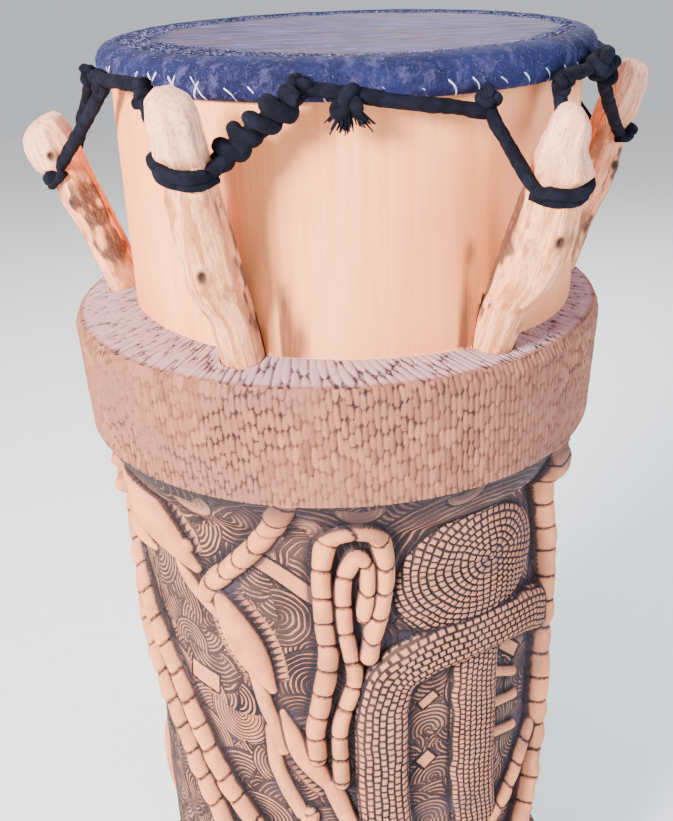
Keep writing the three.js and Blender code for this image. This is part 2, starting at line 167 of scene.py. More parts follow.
PODS = [
    dict(half=15, rise=15, path=[(-73, 488), (-61, 480), (-49, 464), (-40, 446)]),
    dict(half=9, rise=9, path=[(-84, 452), (-72, 442), (-60, 437)]),
    dict(half=13, rise=12, path=[(-34, 436), (-28, 410), (-24, 390), (-20, 366)]),
    dict(half=9.5, rise=9, path=[(-17.5, 348), (-13.5, 322), (-9, 302), (-4, 280)]),
    dict(half=10, rise=9, path=[(-1, 262), (4, 232), (5, 190)]),
    dict(half=12, rise=9, path=[(120, 505), (122, 470), (120, 435)]),
    dict(half=12, rise=9, path=[(118, 400), (119, 365), (116, 330)]),
    dict(half=11, rise=9, path=[(123, 296), (128, 262), (130, 226)]),
    dict(half=11, rise=9, path=[(123, 194), (121, 160), (118, 122)]),
    dict(half=11, rise=9, path=[(275, 340), (274, 305), (270, 268)]),
    dict(half=11, rise=9, path=[(268, 232), (270, 195), (275, 158)]),
]
SCALED_LIMBS = [
    dict(half=20, rise=6.5, row=4.3, block=4.3, path=[
        (34, 388), (34, 345), (34, 310), (34, 275), (35, 240), (37, 205), (40, 170), (42, 140)]),
    dict(half=18, rise=10.5, row=4.6, block=5.6, path=[
        (62.5, 374), (54, 386), (44, 393), (32, 396), (20, 394), (11, 382), (8, 360), (7.5, 330),
        (7.5, 295), (8, 262), (10, 230), (14, 200), (15, 172)]),
    dict(half=16, rise=9, row=4.6, block=5.6, path=[
        (236, 404), (220, 394), (206, 388), (194, 376), (190, 350), (190, 310), (192, 270), (198, 235),
        (206, 205), (210, 165)]),
]
SCALED_DOMES = [
    dict(centre=(33, 443), eye=(8, 12), half_width=58, half_height=46, rise=9, row=4.1, block=4.6),
    dict(centre=(214, 446), eye=(-7, 10), half_width=54, half_height=44, rise=9, row=4.1, block=4.6),
]

# Hatch fans in drawing order: azimuth, height, radius, the way it faces in degrees, pitch of
# its grooves and how bold they are. The back's fans are scattered.
FRONT_FANS = [
    (-70, 500, 40, -80, 4.4, 0.77), (-60, 440, 30, 20, 3.3, 0.64), (-46, 522, 46, -70, 4.8, 0.79),
    (-14, 466, 56, 90, 5.0, 0.72), (16, 524, 34, -90, 4.1, 0.64), (33, 443, 84, 95, 5.2, 0.74),
    (-27, 498, 26, -60, 3.7, 0.7), (-9, 468, 30, 150, 3.9, 0.77), (-40, 478, 24, -90, 3.4, 0.64),
    (-50, 408, 26, -60, 3.2, 0.7), (-41, 398, 22, -120, 2.9, 0.64), (-46, 380, 18, 90, 2.9, 0.64),
    (-16, 446, 26, -30, 3.7, 0.77), (-9, 400, 30, 180, 3.2, 0.64), (-17, 424, 23, 0, 3.8, 0.77),
    (-9, 372, 30, 170, 3.5, 0.77), (-13, 345, 20, 160, 3.2, 0.77), (-56, 336, 34, -20, 2.6, 0.38),
    (-45, 338, 30, -60, 2.4, 0.38), (-38, 322, 30, 200, 2.6, 0.41), (-30, 336, 26, -90, 2.6, 0.38),
    (-44, 300, 28, -10, 2.8, 0.46), (-36, 296, 26, -60, 3.0, 0.54), (-30, 274, 30, 170, 3.5, 0.64),
    (-20, 300, 20, -120, 2.8, 0.58), (-18, 262, 26, 140, 3.5, 0.7), (-26, 244, 26, 100, 3.2, 0.64),
    (-14, 288, 18, -100, 2.9, 0.64), (-5, 240, 30, 90, 3.2, 0.64), (20, 326, 22, 100, 3.2, 0.54),
    (22, 282, 20, 80, 3.2, 0.64), (20, 244, 20, 100, 3.2, 0.64), (55, 330, 24, 150, 2.7, 0.82),
    (54, 278, 24, 170, 2.9, 0.82), (56, 240, 26, 120, 2.9, 0.82), (-35, 507, 15, -70, 3.7, 0.0),
    (-9, 495, 13, 30, 3.7, 0.0), (3, 514, 13, -90, 3.7, 0.0), (25, 516, 12, -70, 3.7, 0.0),
    (-17, 474, 14, 160, 3.7, 0.0), (-43, 466, 12, -40, 3.7, 0.0),
]
# Smooth cream bands, tiles and corners left between the fans.
PLAIN = [
    dict(half=7, path=[(-24, 468), (-16, 457), (-7, 440)]),
    dict(half=9, path=[(-47, 357), (-36, 354)]),
    dict(half=8, path=[(19, 356), (21, 348)]),
    dict(half=7, path=[(18, 306), (21, 296)]),
    dict(half=6, path=[(44, 372), (52, 352)]),
]
# Smoke-dark patches in the carving: azimuth, height, half width and half height.
SMOKE = [
    (-28, 438, 16, 10), (8, 408, 34, 5), (26, 252, 46, 12), (37, 452, 20, 16), (-15, 345, 9, 12),
    (50, 446, 16, 34), (55, 300, 14, 66),
    (-33, 320, 10, 30), (48, 500, 30, 12), (60, 350, 14, 40), (-62, 455, 24, 14), (-20, 280, 16, 12),
    (120, 370, 30, 60), (200, 440, 30, 30), (262, 300, 30, 70), (150, 230, 30, 40),
]
# Painted peg shadows and stains on the shell beside the pegs: azimuth, height of the foot, half width and
# half height.
PEG_SHADOWS_AND_STAINS = [(-16.5, 604, 16, 44), (26, 602, 9, 56), (96, 602, 10, 38), (178, 602, 10, 40), (-86, 602, 9, 34)]
# The hide's outer side past its flat top, as (radius, height from the head).
HIDE_PROFILE = [(140, 0), (144.5, -1), (148.6, -2.9), (151, -6), (151.7, -9.5), (151.7, -13.5), (151, -16.4),
                (149.4, -18.2), (148, -18.4), (147.1, -17.2), (146.9, -13), (146.9, -8.5)]
# The cord's stretches along the hem: azimuths and heights from the head, at each end.
RUNS = [
    ("front", -9, 25, -11, -28), ("right", 45, 58, -17, -16), ("rear_right", 67, 172, -16, -15),
    ("rear_left", 199, 262, -15, -14), ("left", -63, -43, -14, -13),
]
# The hitches from the front left peg up to the hem, as (azimuth, radius, height).
CHAIN = [(-24, 173, 715), (-19, 170, 726.5), (-14.5, 167.5, 736.5), (-9.5, 165, 745)]


# Arrays, places and noise

def polar(azimuth, radius, z, axis_x=0.0):
    """Points at azimuths in degrees about a vertical axis."""
    angle = np.radians(azimuth)
    x = axis_x + radius * np.sin(angle)
    y = -radius * np.cos(angle)
    return np.stack(np.broadcast_arrays(x, y, np.asarray(z, float)), -1)


def directions(azimuth):
    """Unit vectors outward from the axis and round it."""
    return polar(azimuth, 1.0, 0.0), polar(azimuth + 90, 1.0, 0.0)


def wrapped(angle, full=360.0):
    """An angle brought to within half a turn either way."""
    return (angle + full / 2) % full - full / 2


def unit(vectors):
    return vectors / np.linalg.norm(vectors, axis=1)[:, None]


def lengths_along(line):
    """Length of a line from its start to each of its points."""
    return np.concatenate([[0], np.cumsum(np.linalg.norm(np.diff(line, axis=0), axis=1))])


def smoothstep(low, high, x):
    t = np.clip((x - low) / (high - low), 0, 1)
    return t * t * (3 - 2 * t)


def value_noise(x, y, seed, period=None):
    """Smooth noise in -1..1 on a unit lattice; it repeats in x after period cells."""
    table = np.random.default_rng(seed).uniform(-1, 1, (256, 256))
    x, y = np.broadcast_arrays(np.asarray(x, float), np.asarray(y, float))
    cell_x = np.floor(x).astype(int)
    cell_y = np.floor(y).astype(int)
    fx = x - cell_x
    fy = y - cell_y
    fx = fx * fx * (3 - 2 * fx)
    fy = fy * fy * (3 - 2 * fy)
    wrap = period or 256
    x0 = (cell_x % wrap) % 256
    x1 = ((cell_x + 1) % wrap) % 256
    y0 = cell_y % 256
    y1 = (cell_y + 1) % 256
    low = table[x0, y0] * (1 - fx) + table[x1, y0] * fx
    high = table[x0, y1] * (1 - fx) + table[x1, y1] * fx
    return low * (1 - fy) + high * fy


def catmull(points, step):
    """A smooth curve through points, sampled about every step."""
    points = np.asarray(points, float)
    padded = np.vstack([2 * points[0] - points[1], points, 2 * points[-1] - points[-2]])
    pieces = []
    for p0, p1, p2, p3 in zip(padded, padded[1:], padded[2:], padded[3:]):
        count = max(2, int(np.linalg.norm(p2 - p1) / step) + 1)
        t = np.linspace(0, 1, count, endpoint=False)[:, None]
        pieces.append(0.5 * (2 * p1 + (p2 - p0) * t + (2 * p0 - 5 * p1 + 4 * p2 - p3) * t ** 2
                             + (3 * p1 - p0 - 3 * p2 + p3) * t ** 3))
    return np.vstack(pieces + [points[-1:]])


# Meshes; faces are a pair of index arrays, quads and triangles

def new_mesh(name, vertices, faces, materials, face_materials=0, attributes=None):
    """A smooth mesh object from points in millimetres; face_materials is one index or one for each face."""
    quads, triangles = faces
    corners = np.concatenate([quads.ravel(), triangles.ravel()]).astype(np.int32)
    starts = np.concatenate([4 * np.arange(len(quads)), 4 * len(quads) + 3 * np.arange(len(triangles))])
    mesh = bpy.data.meshes.new(name)
    mesh.vertices.add(len(vertices))
    mesh.vertices.foreach_set("co", (np.asarray(vertices) * MM).astype(np.float32).ravel())
    mesh.loops.add(len(corners))
    mesh.loops.foreach_set("vertex_index", corners)
    mesh.polygons.add(len(starts))
    mesh.polygons.foreach_set("loop_start", starts.astype(np.int32))
    for material in materials:
        mesh.materials.append(material)
    mesh.polygons.foreach_set("material_index", np.full(len(starts), face_materials, np.int32))
    mesh.update(calc_edges=True)
    mesh.polygons.foreach_set("use_smooth", np.ones(len(starts), bool))
    for key, values in (attributes or {}).items():
        attribute = mesh.attributes.new(key, "FLOAT", "POINT")
        attribute.data.foreach_set("value", np.asarray(values, np.float32).ravel())
    obj = bpy.data.objects.new(name, mesh)
    bpy.context.scene.collection.objects.link(obj)
    return obj


def ring_grid(rows, columns):
    """Faces of a grid whose rows are closed rings; the two vertices after it cap its ends."""
    r, c = np.meshgrid(np.arange(rows - 1), np.arange(columns), indexing="ij")
    after = (c + 1) % columns
    corners = (r * columns + c, r * columns + after, (r + 1) * columns + after, (r + 1) * columns + c)
    quads = np.stack(corners, -1).reshape(-1, 4)
    i = np.arange(columns)
    following = (i + 1) % columns
    first = np.stack([np.full(columns, rows * columns), following, i], -1)
    last_row = (rows - 1) * columns
    last = np.stack([np.full(columns, rows * columns + 1), last_row + i, last_row + following], -1)
    return quads, np.vstack([first, last])


def closed_grid(points, ends, layers):
    """Vertices, faces and attributes of a grid of closed rings that ends in two points."""
    shape = points.shape[:2]
    attributes = {key: np.append(np.broadcast_to(layer, shape).ravel(), [0, 0])
                  for key, layer in layers.items()}
    return np.vstack([points.reshape(-1, 3), ends]), ring_grid(*shape), attributes


def azimuths_of(columns):
    """Evenly spaced azimuths as a row."""
    return (np.arange(columns) * 360.0 / columns)[None, :]


def turned(name, profile, columns, materials, axis_x=0.0, face_material=0):
    """A solid of revolution from (radius, z) points, from the bottom up; its ends close on the axis."""
    radius, z = np.array(profile, float).T[:, :, None]
    ends = [[axis_x, 0, profile[0][1]], [axis_x, 0, profile[-1][1]]]
    vertices, faces, _ = closed_grid(polar(azimuths_of(columns), radius, z, axis_x), ends, {})
    return new_mesh(name, vertices, faces, materials, face_material)


def tube(line, radii, sides, squeeze=1.0, wrinkle=0.0, seed=0):
    """Vertices and faces of a closed tube along a line; squeeze flattens it, wrinkle roughens it."""
    line = np.asarray(line, float)
    tangents = unit(np.gradient(line, axis=0))
    normal = np.cross(tangents[0], [0.31, 0.17, 0.93])
    normals = []
    for tangent in tangents:
        normal = normal - tangent * normal.dot(tangent)
        normal /= np.linalg.norm(normal)
        normals.append(normal)
    normals = np.array(normals)
    binormals = np.cross(tangents, normals)
    angles = np.arange(sides) * TURN / sides
    radii = np.broadcast_to(np.asarray(radii, float), len(line))[:, None] * np.ones(sides)
    if wrinkle:
        lengths = lengths_along(line)[:, None]
        turn = angles[None, :] * 5 / TURN
        folds = value_noise(turn, lengths / 9.0, seed, 5)
        fibres = value_noise(turn * 3, lengths / 2.2, seed + 1, 15)
        radii = radii * (1 + wrinkle * (folds + 0.5 * fibres))
    rings = (line[:, None, :] + normals[:, None, :] * (radii * np.cos(angles))[..., None]
             + binormals[:, None, :] * (radii * squeeze * np.sin(angles))[..., None])
    vertices = np.vstack([rings.reshape(-1, 3), line[:1], line[-1:]])
    return vertices, ring_grid(len(line), sides)


def joined(parts):
    """Vertices and faces of several parts together."""
    offsets = np.concatenate([[0], np.cumsum([len(vertices) for vertices, _ in parts])])
    quads = np.vstack([faces[0] + offset for (_, faces), offset in zip(parts, offsets)])
    triangles = np.vstack([faces[1] + offset for (_, faces), offset in zip(parts, offsets)])
    return np.vstack([vertices for vertices, _ in parts]), (quads, triangles)


def boolean(target, cutter, operation):
    modifier = target.modifiers.new("cut", "BOOLEAN")
    modifier.operation = operation
    modifier.object = cutter
    modifier.solver = "MANIFOLD"
    bpy.context.view_layer.objects.active = target
    bpy.ops.object.modifier_apply(modifier=modifier.name)
    bpy.data.objects.remove(cutter)


# Shader building

class Shader:
    """A node tree with short calls for what the materials here need."""

    def __init__(self, name):
        self.material = bpy.data.materials.new(name)
        self.material.use_nodes = True
        self.tree = self.material.node_tree
        self.bsdf = self.tree.nodes["Principled BSDF"]

    def put(self, socket, value):
        if hasattr(value, "links"):
            self.tree.links.new(value, socket)
        else:
            socket.default_value = value

    def node(self, kind, inputs, output=0, **settings):
        """A node's output; inputs are values or sockets in a list, or by name or number in a dict."""
        made = self.tree.nodes.new("ShaderNode" + kind)
        for name, value in settings.items():
            setattr(made, name, value)
        for key, value in inputs.items() if isinstance(inputs, dict) else enumerate(inputs):
            self.put(made.inputs[key], value)
        return made.outputs[output]

    def math(self, operation, a, b=0.0):
        return self.node("Math", [a, b], operation=operation)

    def times(self, a, b):
        return self.math("MULTIPLY", a, b)

    def attribute(self, name):
        return self.node("Attribute", [], "Fac", attribute_name=name)

    def noise(self, vector, scale, detail, roughness, distortion=0.0):
        return self.node("TexNoise", {"Vector": vector, "Scale": scale, "Detail": detail,
                                      "Roughness": roughness, "Distortion": distortion})

    def grain(self, scale, detail, roughness=0.55, distortion=0.0):
        """Noise over object coordinates, with its own scale along each axis."""
        place = self.node("TexCoord", [], "Object")
        stretched = self.node("Mapping", {"Vector": place, "Scale": scale})
        return self.noise(stretched, 1.0, detail, roughness, distortion)

    def ramp(self, value, low, high, to_low=0.0, to_high=1.0):
        return self.node("MapRange", [value, low, high, to_low, to_high],
                         interpolation_type="SMOOTHSTEP")

    def mix(self, factor, a, b):
        a, b = ((*color, 1.0) if isinstance(color, tuple) else color for color in (a, b))
        return self.node("Mix", {0: factor, 6: a, 7: b}, 2, data_type="RGBA")

    def tinge(self, base, color, mask, low, high, strength=1.0):
        """The base, turning to a colour by up to strength as the mask goes from low to high."""
        return self.mix(self.ramp(mask, low, high, 0.0, strength), base, color)

    def bump(self, height, strength, distance):
        return self.node("Bump", {"Strength": strength, "Distance": distance, "Height": height})

    def finish(self, color, roughness, normal=None, **sockets):
        self.put(self.bsdf.inputs["Base Color"], color)
        self.put(self.bsdf.inputs["Roughness"], roughness)
        if normal is not None:
            self.put(self.bsdf.inputs["Normal"], normal)
        for name, value in sockets.items():
            self.bsdf.inputs[name.replace("_", " ")].default_value = value
        return self.material


def stripes(shader, phase):
    """1 at whole numbers of the phase and 0 half way between."""
    fraction = shader.math("FRACT", phase)
    centred = shader.math("SUBTRACT", fraction, 0.5)
    return shader.times(shader.math("ABSOLUTE", centred), 2.0)


# The carved log: its height field

def scale_blocks(across, along):
    """Height of rectangular scales and their two phases, staggered from row to row."""
    row = np.floor(across + 0.5)
    phase = along + 0.5 * (row % 2)
    gap_a = np.abs((phase % 1) - 0.5) * 2
    gap_b = np.abs((across + 0.5) % 1 - 0.5) * 2
    height = (1 - smoothstep(0.62, 0.98, gap_a)) * (1 - smoothstep(0.6, 0.98, gap_b))
    return height, phase, across + 0.5


def blurred(field, reach):
    """A box blur that runs on round the stem."""
    total = field.copy()
    for axis, mode in ((1, "wrap"), (0, "edge")):
        pad = [(0, 0), (0, 0)]
        pad[axis] = (reach + 1, reach)
        sums = np.cumsum(np.pad(total, pad, mode=mode), axis=axis)
        count = total.shape[axis]
        upper = np.take(sums, np.arange(2 * reach + 1, 2 * reach + 1 + count), axis=axis)
        lower = np.take(sums, np.arange(count), axis=axis)
        total = (upper - lower) / (2 * reach + 1)
    return total


class Carving:
    """The carved band of the stem: heights, and what its material draws, over (height, azimuth)."""

    def __init__(self):
        self.z = CARVED_BASE + ROW_STEP * np.arange(CARVED_ROWS)
        self.azimuth = azimuths_of(COLUMNS)
        self.step = TURN * STEM_R / COLUMNS
        shape = (CARVED_ROWS, COLUMNS)
        self.height = np.zeros(shape)
        self.layers = {key: np.zeros(shape) for key in ("pa", "pb", "da", "db", "tone")}

    def paint(self, mask, height, tone, block=..., pa=0.5, pb=0.5, da=0.0, db=0.0):
        """Sets height, tone, and the phases (pa, pb) and widths (da, db) of two sets of burnt lines."""
        self.height[block] = np.where(mask, height, self.height[block])
        for key, value in dict(tone=tone, pa=pa, pb=pb, da=da, db=db).items():
            layer = self.layers[key]
            layer[block] = np.where(mask, value, layer[block])

    def window(self, u, z, reach):
        """The grid points near a place: their indices, and their distances from it along the surface."""
        centre = round(u / self.step)
        span = int(reach / self.step) + 1
        columns = np.arange(centre - span, centre + span + 1)
        low, high = np.searchsorted(self.z, (z - reach, z + reach))
        block = np.ix_(np.arange(low, high), columns % COLUMNS)
        return block, (columns * self.step - u)[None, :], (self.z[low:high] - z)[:, None]

    def offsets(self, azimuth, z):
        """Distances in millimetres along the surface from a place to every grid point."""
        return np.radians(wrapped(self.azimuth - azimuth)) * STEM_R, (self.z - z)[:, None]

    def follow(self, path, reach):
        """Distance from a path, length along it, and signed distance to one side, over the grid."""
        line = catmull([(math.radians(a) * STEM_R, z) for a, z in path], 0.8)
        along = unit(np.gradient(line, axis=0))
        lengths = lengths_along(line)
        shape = self.height.shape
        distance, length, side = np.full(shape, 1e3), np.zeros(shape), np.zeros(shape)
        for (u, z), (tangent_u, tangent_z), s in zip(line, along, lengths):
            block, du, dz = self.window(u, z, reach)
            gap = np.hypot(du, dz)
            nearer = gap < distance[block]
            distance[block] = np.where(nearer, gap, distance[block])
            length[block] = np.where(nearer, s + du * tangent_u + dz * tangent_z, length[block])
            side[block] = np.where(nearer, du * tangent_z - dz * tangent_u, side[block])
        return distance, length, side, lengths[-1]

    def raise_form(self, mask, lift, tone, **lines):
        """Puts a form on the surface wherever it stands above what is there."""
        self.paint(mask & (lift > self.height), lift, tone, **lines)

    def fans(self):
        """Overlapping fans of concentric grooves cover the ground."""
        random = np.random.default_rng(12)
        fans = []
        for row, z in enumerate(np.arange(64, 534, 15)):
            for azimuth in np.arange(0, 360, 6):
                place = azimuth + 3 * (row % 2) + random.uniform(-2, 2)
                size = random.uniform(17, 28)
                facing = random.uniform(0, 360)
                fans.append((place, z + random.uniform(-5, 5), size, facing, 3.3, random.uniform(0.6, 0.8)))
        fans.sort(key=lambda fan: float(value_noise(fan[0] / 18.0, fan[1] / 48.0, 13, 20)))
        for azimuth, z, radius, facing, pitch, bold in fans + FRONT_FANS:
            block, du, dz = self.window(math.radians(azimuth) * STEM_R, z, radius + 1)
            distance = np.hypot(du, dz)
            turn = wrapped(np.degrees(np.arctan2(dz, du)) - facing)
            wobble = 0.2 * value_noise(du / 7.0, dz / 7.0, int(z) % 97)
            phase = distance / pitch + wobble
            rim = smoothstep(radius - 1.9, radius - 0.4, distance)
            groove = -0.35 * np.abs(np.sin(np.pi * phase)) ** 3 - 0.7 * rim + 0.9 * distance / radius
            duty = bold * (1 + 0.25 * value_noise(du / 9.0, dz / 9.0, 5)) + 0.6 * rim
            self.paint((distance < radius) & (np.abs(turn) < 105), groove, 0.0, block, pa=phase, da=duty)

    def plain(self, half, path):
        """A smooth band with a dark edge."""
        distance, length, side, total = self.follow(path, 1.5 * half + 3)
        inside = np.minimum(half - np.abs(side), np.minimum(length, total - length))
        edge = smoothstep(1.4, 0.4, inside)
        self.paint((inside > 0) & (distance < 99), 0.5 - 1.2 * edge, 0.6, pa=0.0, da=edge)

    def thorns(self, half, total, distance, length, width):
        """Tapering strokes cut into the ground along both sides of a pod."""
        reach = (distance - half * width) / THORN_LENGTH
        beside = (reach > 0) & (reach < 1) & (length > 0.08 * total) & (length < 0.95 * total)
        beside &= self.height < 1.5
        self.paint(beside, 0.9 * (1 - reach), 0.35, pa=length / 4.6, da=0.8 * (1 - reach))

    def cane(self, half, rise, path, period):
        """A jointed cane: a round ridge with a thin bowed groove at every joint."""
        distance, length, side, _ = self.follow(path, 1.15 * half + 2)
        seed = len(path) + int(abs(path[0][1]))
        phase = (length + 3.0 * (side / half) ** 2) / period + 0.16 * value_noise(length / 23.0, 0.5, seed)
        joint = np.abs((phase % 1) - 0.5) * 2
        lumpy = 1 + 0.09 * value_noise(length / 11.0, side / 9.0, seed + 1) - 0.07 * joint ** 3
        t = np.clip(distance / (half * lumpy), 0, 1)
        lift = rise * lumpy * np.sqrt(1 - t ** 2) - 1.2 * smoothstep(0.86, 1.0, joint)
        # Painted shade: the cane's tone darkens down its rounded sides.
        self.raise_form(t < 1, lift, 0.9 - 0.7 * t ** 3, pa=phase, da=0.11)

    def rod(self, half, rise, path):
        """A plain stick of uneven width."""
        distance, length, side, _ = self.follow(path, 1.15 * half + 2)
        t = np.clip(distance / (half * (1 + 0.13 * value_noise(length / 14.0, side / 9.0, 17))), 0, 1)
        lift = rise * np.sqrt(1 - t ** 2)
        # Painted shade: the rod's tone darkens down its rounded sides.
        self.raise_form(t < 1, lift, 0.8 - 0.6 * t ** 3)

    def pod(self, half, rise, path):
        """A seed pod, widest half way along, with thorns cut beside it."""
        distance, length, side, total = self.follow(path, half + THORN_LENGTH + 2)
        t = np.clip(length / total, 0, 1)
        width = 0.3 + 0.7 * np.sin(np.pi * t)
        self.thorns(half, total, distance, length, width)
        across = np.clip(distance / (half * width), 0, 1)
        lift = rise * width * np.sqrt(1 - across ** 2)
        # Painted shade: the pod's tone darkens towards its edges.
        self.raise_form(across < 1, lift, 1 - 0.6 * across ** 3)

    def scaled_limb(self, half, rise, path, row, block):
        """A flat-topped limb covered with rows of scales along it."""
        distance, length, side, _ = self.follow(path, half + 2)
        t = np.clip(distance / half, 0, 1)
        uneven = 0.22 * value_noise(length / 13.0, side / 9.0, 19)
        height, pa, pb = scale_blocks(side / row + uneven, length / block + uneven)
        lift = rise * (1 - t ** 4) ** 0.6 + 1.3 * height - 0.7
        self.raise_form(distance < half, lift, 0.12, pa=pa, pb=pb, da=0.32, db=0.34)

    def scaled_dome(self, centre, eye, half_width, half_height, rise, row, block):
        """An oval dome with rings of scales round a point beside its centre."""
        du, dz = self.offsets(*centre)
        reach = np.hypot(du / half_width, dz / half_height)
        across, upward = (du - eye[0]) / half_width, (dz - eye[1]) / half_height
        ring = (1 - np.hypot(across, upward)) * half_height / row
        angle = np.arctan2(upward, across) / TURN
        inset = np.floor(ring + 0.5) * row / half_height
        girth = np.round(TURN * half_width * 0.85 * (1 - inset) / block)
        uneven = 0.25 * value_noise(du / 13.0, dz / 11.0, 23)
        height, pa, pb = scale_blocks(ring + uneven, angle * np.maximum(girth, 3) + uneven)
        lift = rise * np.sqrt(np.clip(1 - reach ** 2, 0, 1)) + 1.3 * height - 0.7
        self.raise_form(reach < 1, lift, 0.05, pa=pa, pb=pb, da=0.31, db=0.33)

    def make(self):
        """Cuts the ground and puts every form on it, then paints shade into what is sunken and under the
        collar, and marks what is smoked.
        """
        self.fans()
        for draw, forms in ((self.plain, PLAIN), (self.pod, PODS), (self.rod, RODS),
                            (self.scaled_dome, SCALED_DOMES), (self.scaled_limb, SCALED_LIMBS),
                            (self.cane, CANES)):
            for form in forms:
                draw(**form)
        soft = blurred(blurred(self.height, 3), 3)
        wide = blurred(blurred(self.height, 9), 9)
        # Painted shade: darker where the surface lies below its blurred surroundings and round the raised
        # forms, and a painted contact shadow under the collar.
        self.layers["recess"] = (np.clip(soft - self.height, 0, 1)
                                 + 0.85 * np.clip((wide - self.height) / 2.3, 0, 1)
                                 + 0.85 * smoothstep(COLLAR_BOTTOM - 34, COLLAR_BOTTOM, self.z)[:, None])
        smoke = np.zeros_like(self.height)
        for azimuth, z, half_width, half_height in SMOKE:
            du, dz = self.offsets(azimuth, z)
            smoke = np.maximum(smoke, 1 - np.hypot(du / half_width, dz / half_height))
        self.layers["smoke"] = smoothstep(0.0, 0.7, smoke)
        return self


def lobes(u, v, columns, seed):
    """Upright gouge marks in columns one unit wide, each with its own lengths: height and tint."""
    random = np.random.default_rng(seed)
    shifts = random.uniform(0, 9, columns)
    lengths = random.uniform(0.7, 1.45, columns)
    sway = random.uniform(-0.16, 0.16, columns)
    height = np.zeros(np.broadcast(u, v).shape)
    tint = np.zeros(height.shape)
    for neighbour in (-1, 0, 1):
        column = np.floor(u).astype(int) + neighbour
        index = column % columns
        shifted = v * lengths[index] + shifts[index]
        row = np.floor(shifted)
        x = u - column - 0.5 - sway[index] * np.sin(shifted * 2.1)
        y = (shifted - row) * 2 - 1
        own = np.modf(np.abs(np.sin(index * 12.99 + row * 78.2)) * 43.7)[0]
        width = (0.56 + 0.14 * own) * np.clip(1 - np.abs(y) ** 5, 0.02, 1)
        lift = 1 - np.abs(x / width) ** 2.6 - 0.3 * y * (y > 0) - 0.3 * own
        proud = lift > height
        height = np.where(proud, lift, height)
        tint = np.where(proud, own, tint)
    return height, tint


def log_rows():
    """Rows of the log's outside, from the bottom up: radius, height, normal and zone of each."""
    foot = [(165, 0), (FOOT_R, 4), (FOOT_R, FOOT_TOP - 6)]
    waist = [(FOOT_R, FOOT_TOP - 6), (FOOT_R - 6, FOOT_TOP + 2), (STEM_R, FOOT_TOP + 18),
             (STEM_R, COLLAR_FOOT), (STEM_R + 7, COLLAR_FOOT + 8), (COLLAR_R - 12, COLLAR_BOTTOM - 14),
             (COLLAR_R - 3, COLLAR_BOTTOM)]
    collar = [(COLLAR_R - 3, COLLAR_BOTTOM), (COLLAR_R, COLLAR_TOP - 14), (COLLAR_R - 3, COLLAR_TOP - 8)]
    top = [(COLLAR_R - 3, COLLAR_TOP - 8), (SHELL_R - 14, COLLAR_TOP)]
    rows = []
    for zone, corners, step in (("foot", foot, 2.0), ("collar", collar, 0.9), ("top", top, 0.9)):
        for start, end in zip(corners, corners[1:]):
            length = math.dist(start, end)
            normal = ((end[1] - start[1]) / length, -(end[0] - start[0]) / length)
            for t in np.arange(0, 1, step / length):
                place = [a + t * (b - a) for a, b in zip(start, end)]
                rows.append((*place, *normal, zone))
        if zone == "foot":
            heights = CARVED_BASE + ROW_STEP * np.arange(CARVED_ROWS)
            radii = np.interp(heights, [z for _, z in waist], [r for r, _ in waist])
            rows += [(radius, z, 1.0, 0.0, "stem") for radius, z in zip(radii, heights)]
    rows.append((*top[-1], 0.0, 1.0, "top"))
    return rows


def log_surface():
    """Vertices, faces, face materials and attributes of the log below the shell."""
    rows = log_rows()
    radius, z, normal_r, normal_z = (np.array([row[i] for row in rows])[:, None] for i in range(4))
    zones = np.array([row[4] for row in rows])
    azimuth = azimuths_of(COLUMNS)
    shape = (len(rows), COLUMNS)
    layers = {key: np.zeros(shape) for key in ("pa", "pb", "da", "db", "tone", "recess", "smoke")}
    lift = np.zeros(shape)

    carving = Carving().make()
    stem = zones == "stem"
    for key, layer in carving.layers.items():
        layers[key][stem] = layer
    faded = carving.height * (0.15 + 0.85 * smoothstep(COLLAR_BOTTOM - 1, COLLAR_BOTTOM - 15, z[stem]))
    lift[stem] = np.minimum(faded, COLLAR_R - 1 - radius[stem])

    chiselled = ~stem
    on_top = (zones == "top")[:, None]
    slant = np.where(on_top, 0.05 + 0.04 * np.sin(np.radians(3 * azimuth)), 0.014)
    run = np.where(on_top, -radius, z)
    across = azimuth * GOUGES_ROUND / 360 + run * slant
    marks, tint = lobes(across, run / np.where(on_top, 30.0, 12.5), GOUGES_ROUND, 4)
    depth = 1.0 + 0.35 * value_noise(azimuth / 5.0, run / 12.0, 8, 72)
    lift[chiselled] = ((marks - 1.0) * depth + 0.4)[chiselled]
    patches = np.clip(0.60 + 0.7 * value_noise(azimuth / 6.0, run / 30.0, 31, 60), 0.3, 1)
    # Darker in the gaps between the gouge marks, in patches on the collar's side.
    gap = 1 - smoothstep(0.02, 0.55, marks)
    layers["recess"][chiselled] = (gap * np.where(on_top, 1.0, patches))[chiselled]
    layers["tone"][chiselled] = tint[chiselled]
    rim = smoothstep(COLLAR_R - 7, COLLAR_R - 3, radius)
    layers["smoke"] = np.where(on_top, 1 - rim, layers["smoke"])
    lift *= 1 - smoothstep(598.5, 600.5, z) * on_top

    points = polar(np.broadcast_to(azimuth, shape), radius + lift * normal_r, z + lift * normal_z, LOG_X)
    vertices, faces, attributes = closed_grid(points, [[LOG_X, 0, 0], [LOG_X, 0, COLLAR_TOP]], layers)
    indices = np.ones(len(faces[0]) + len(faces[1]), int)
    indices[:len(faces[0])] = np.repeat(~stem[:-1], COLUMNS)
    return vertices, faces, indices, attributes


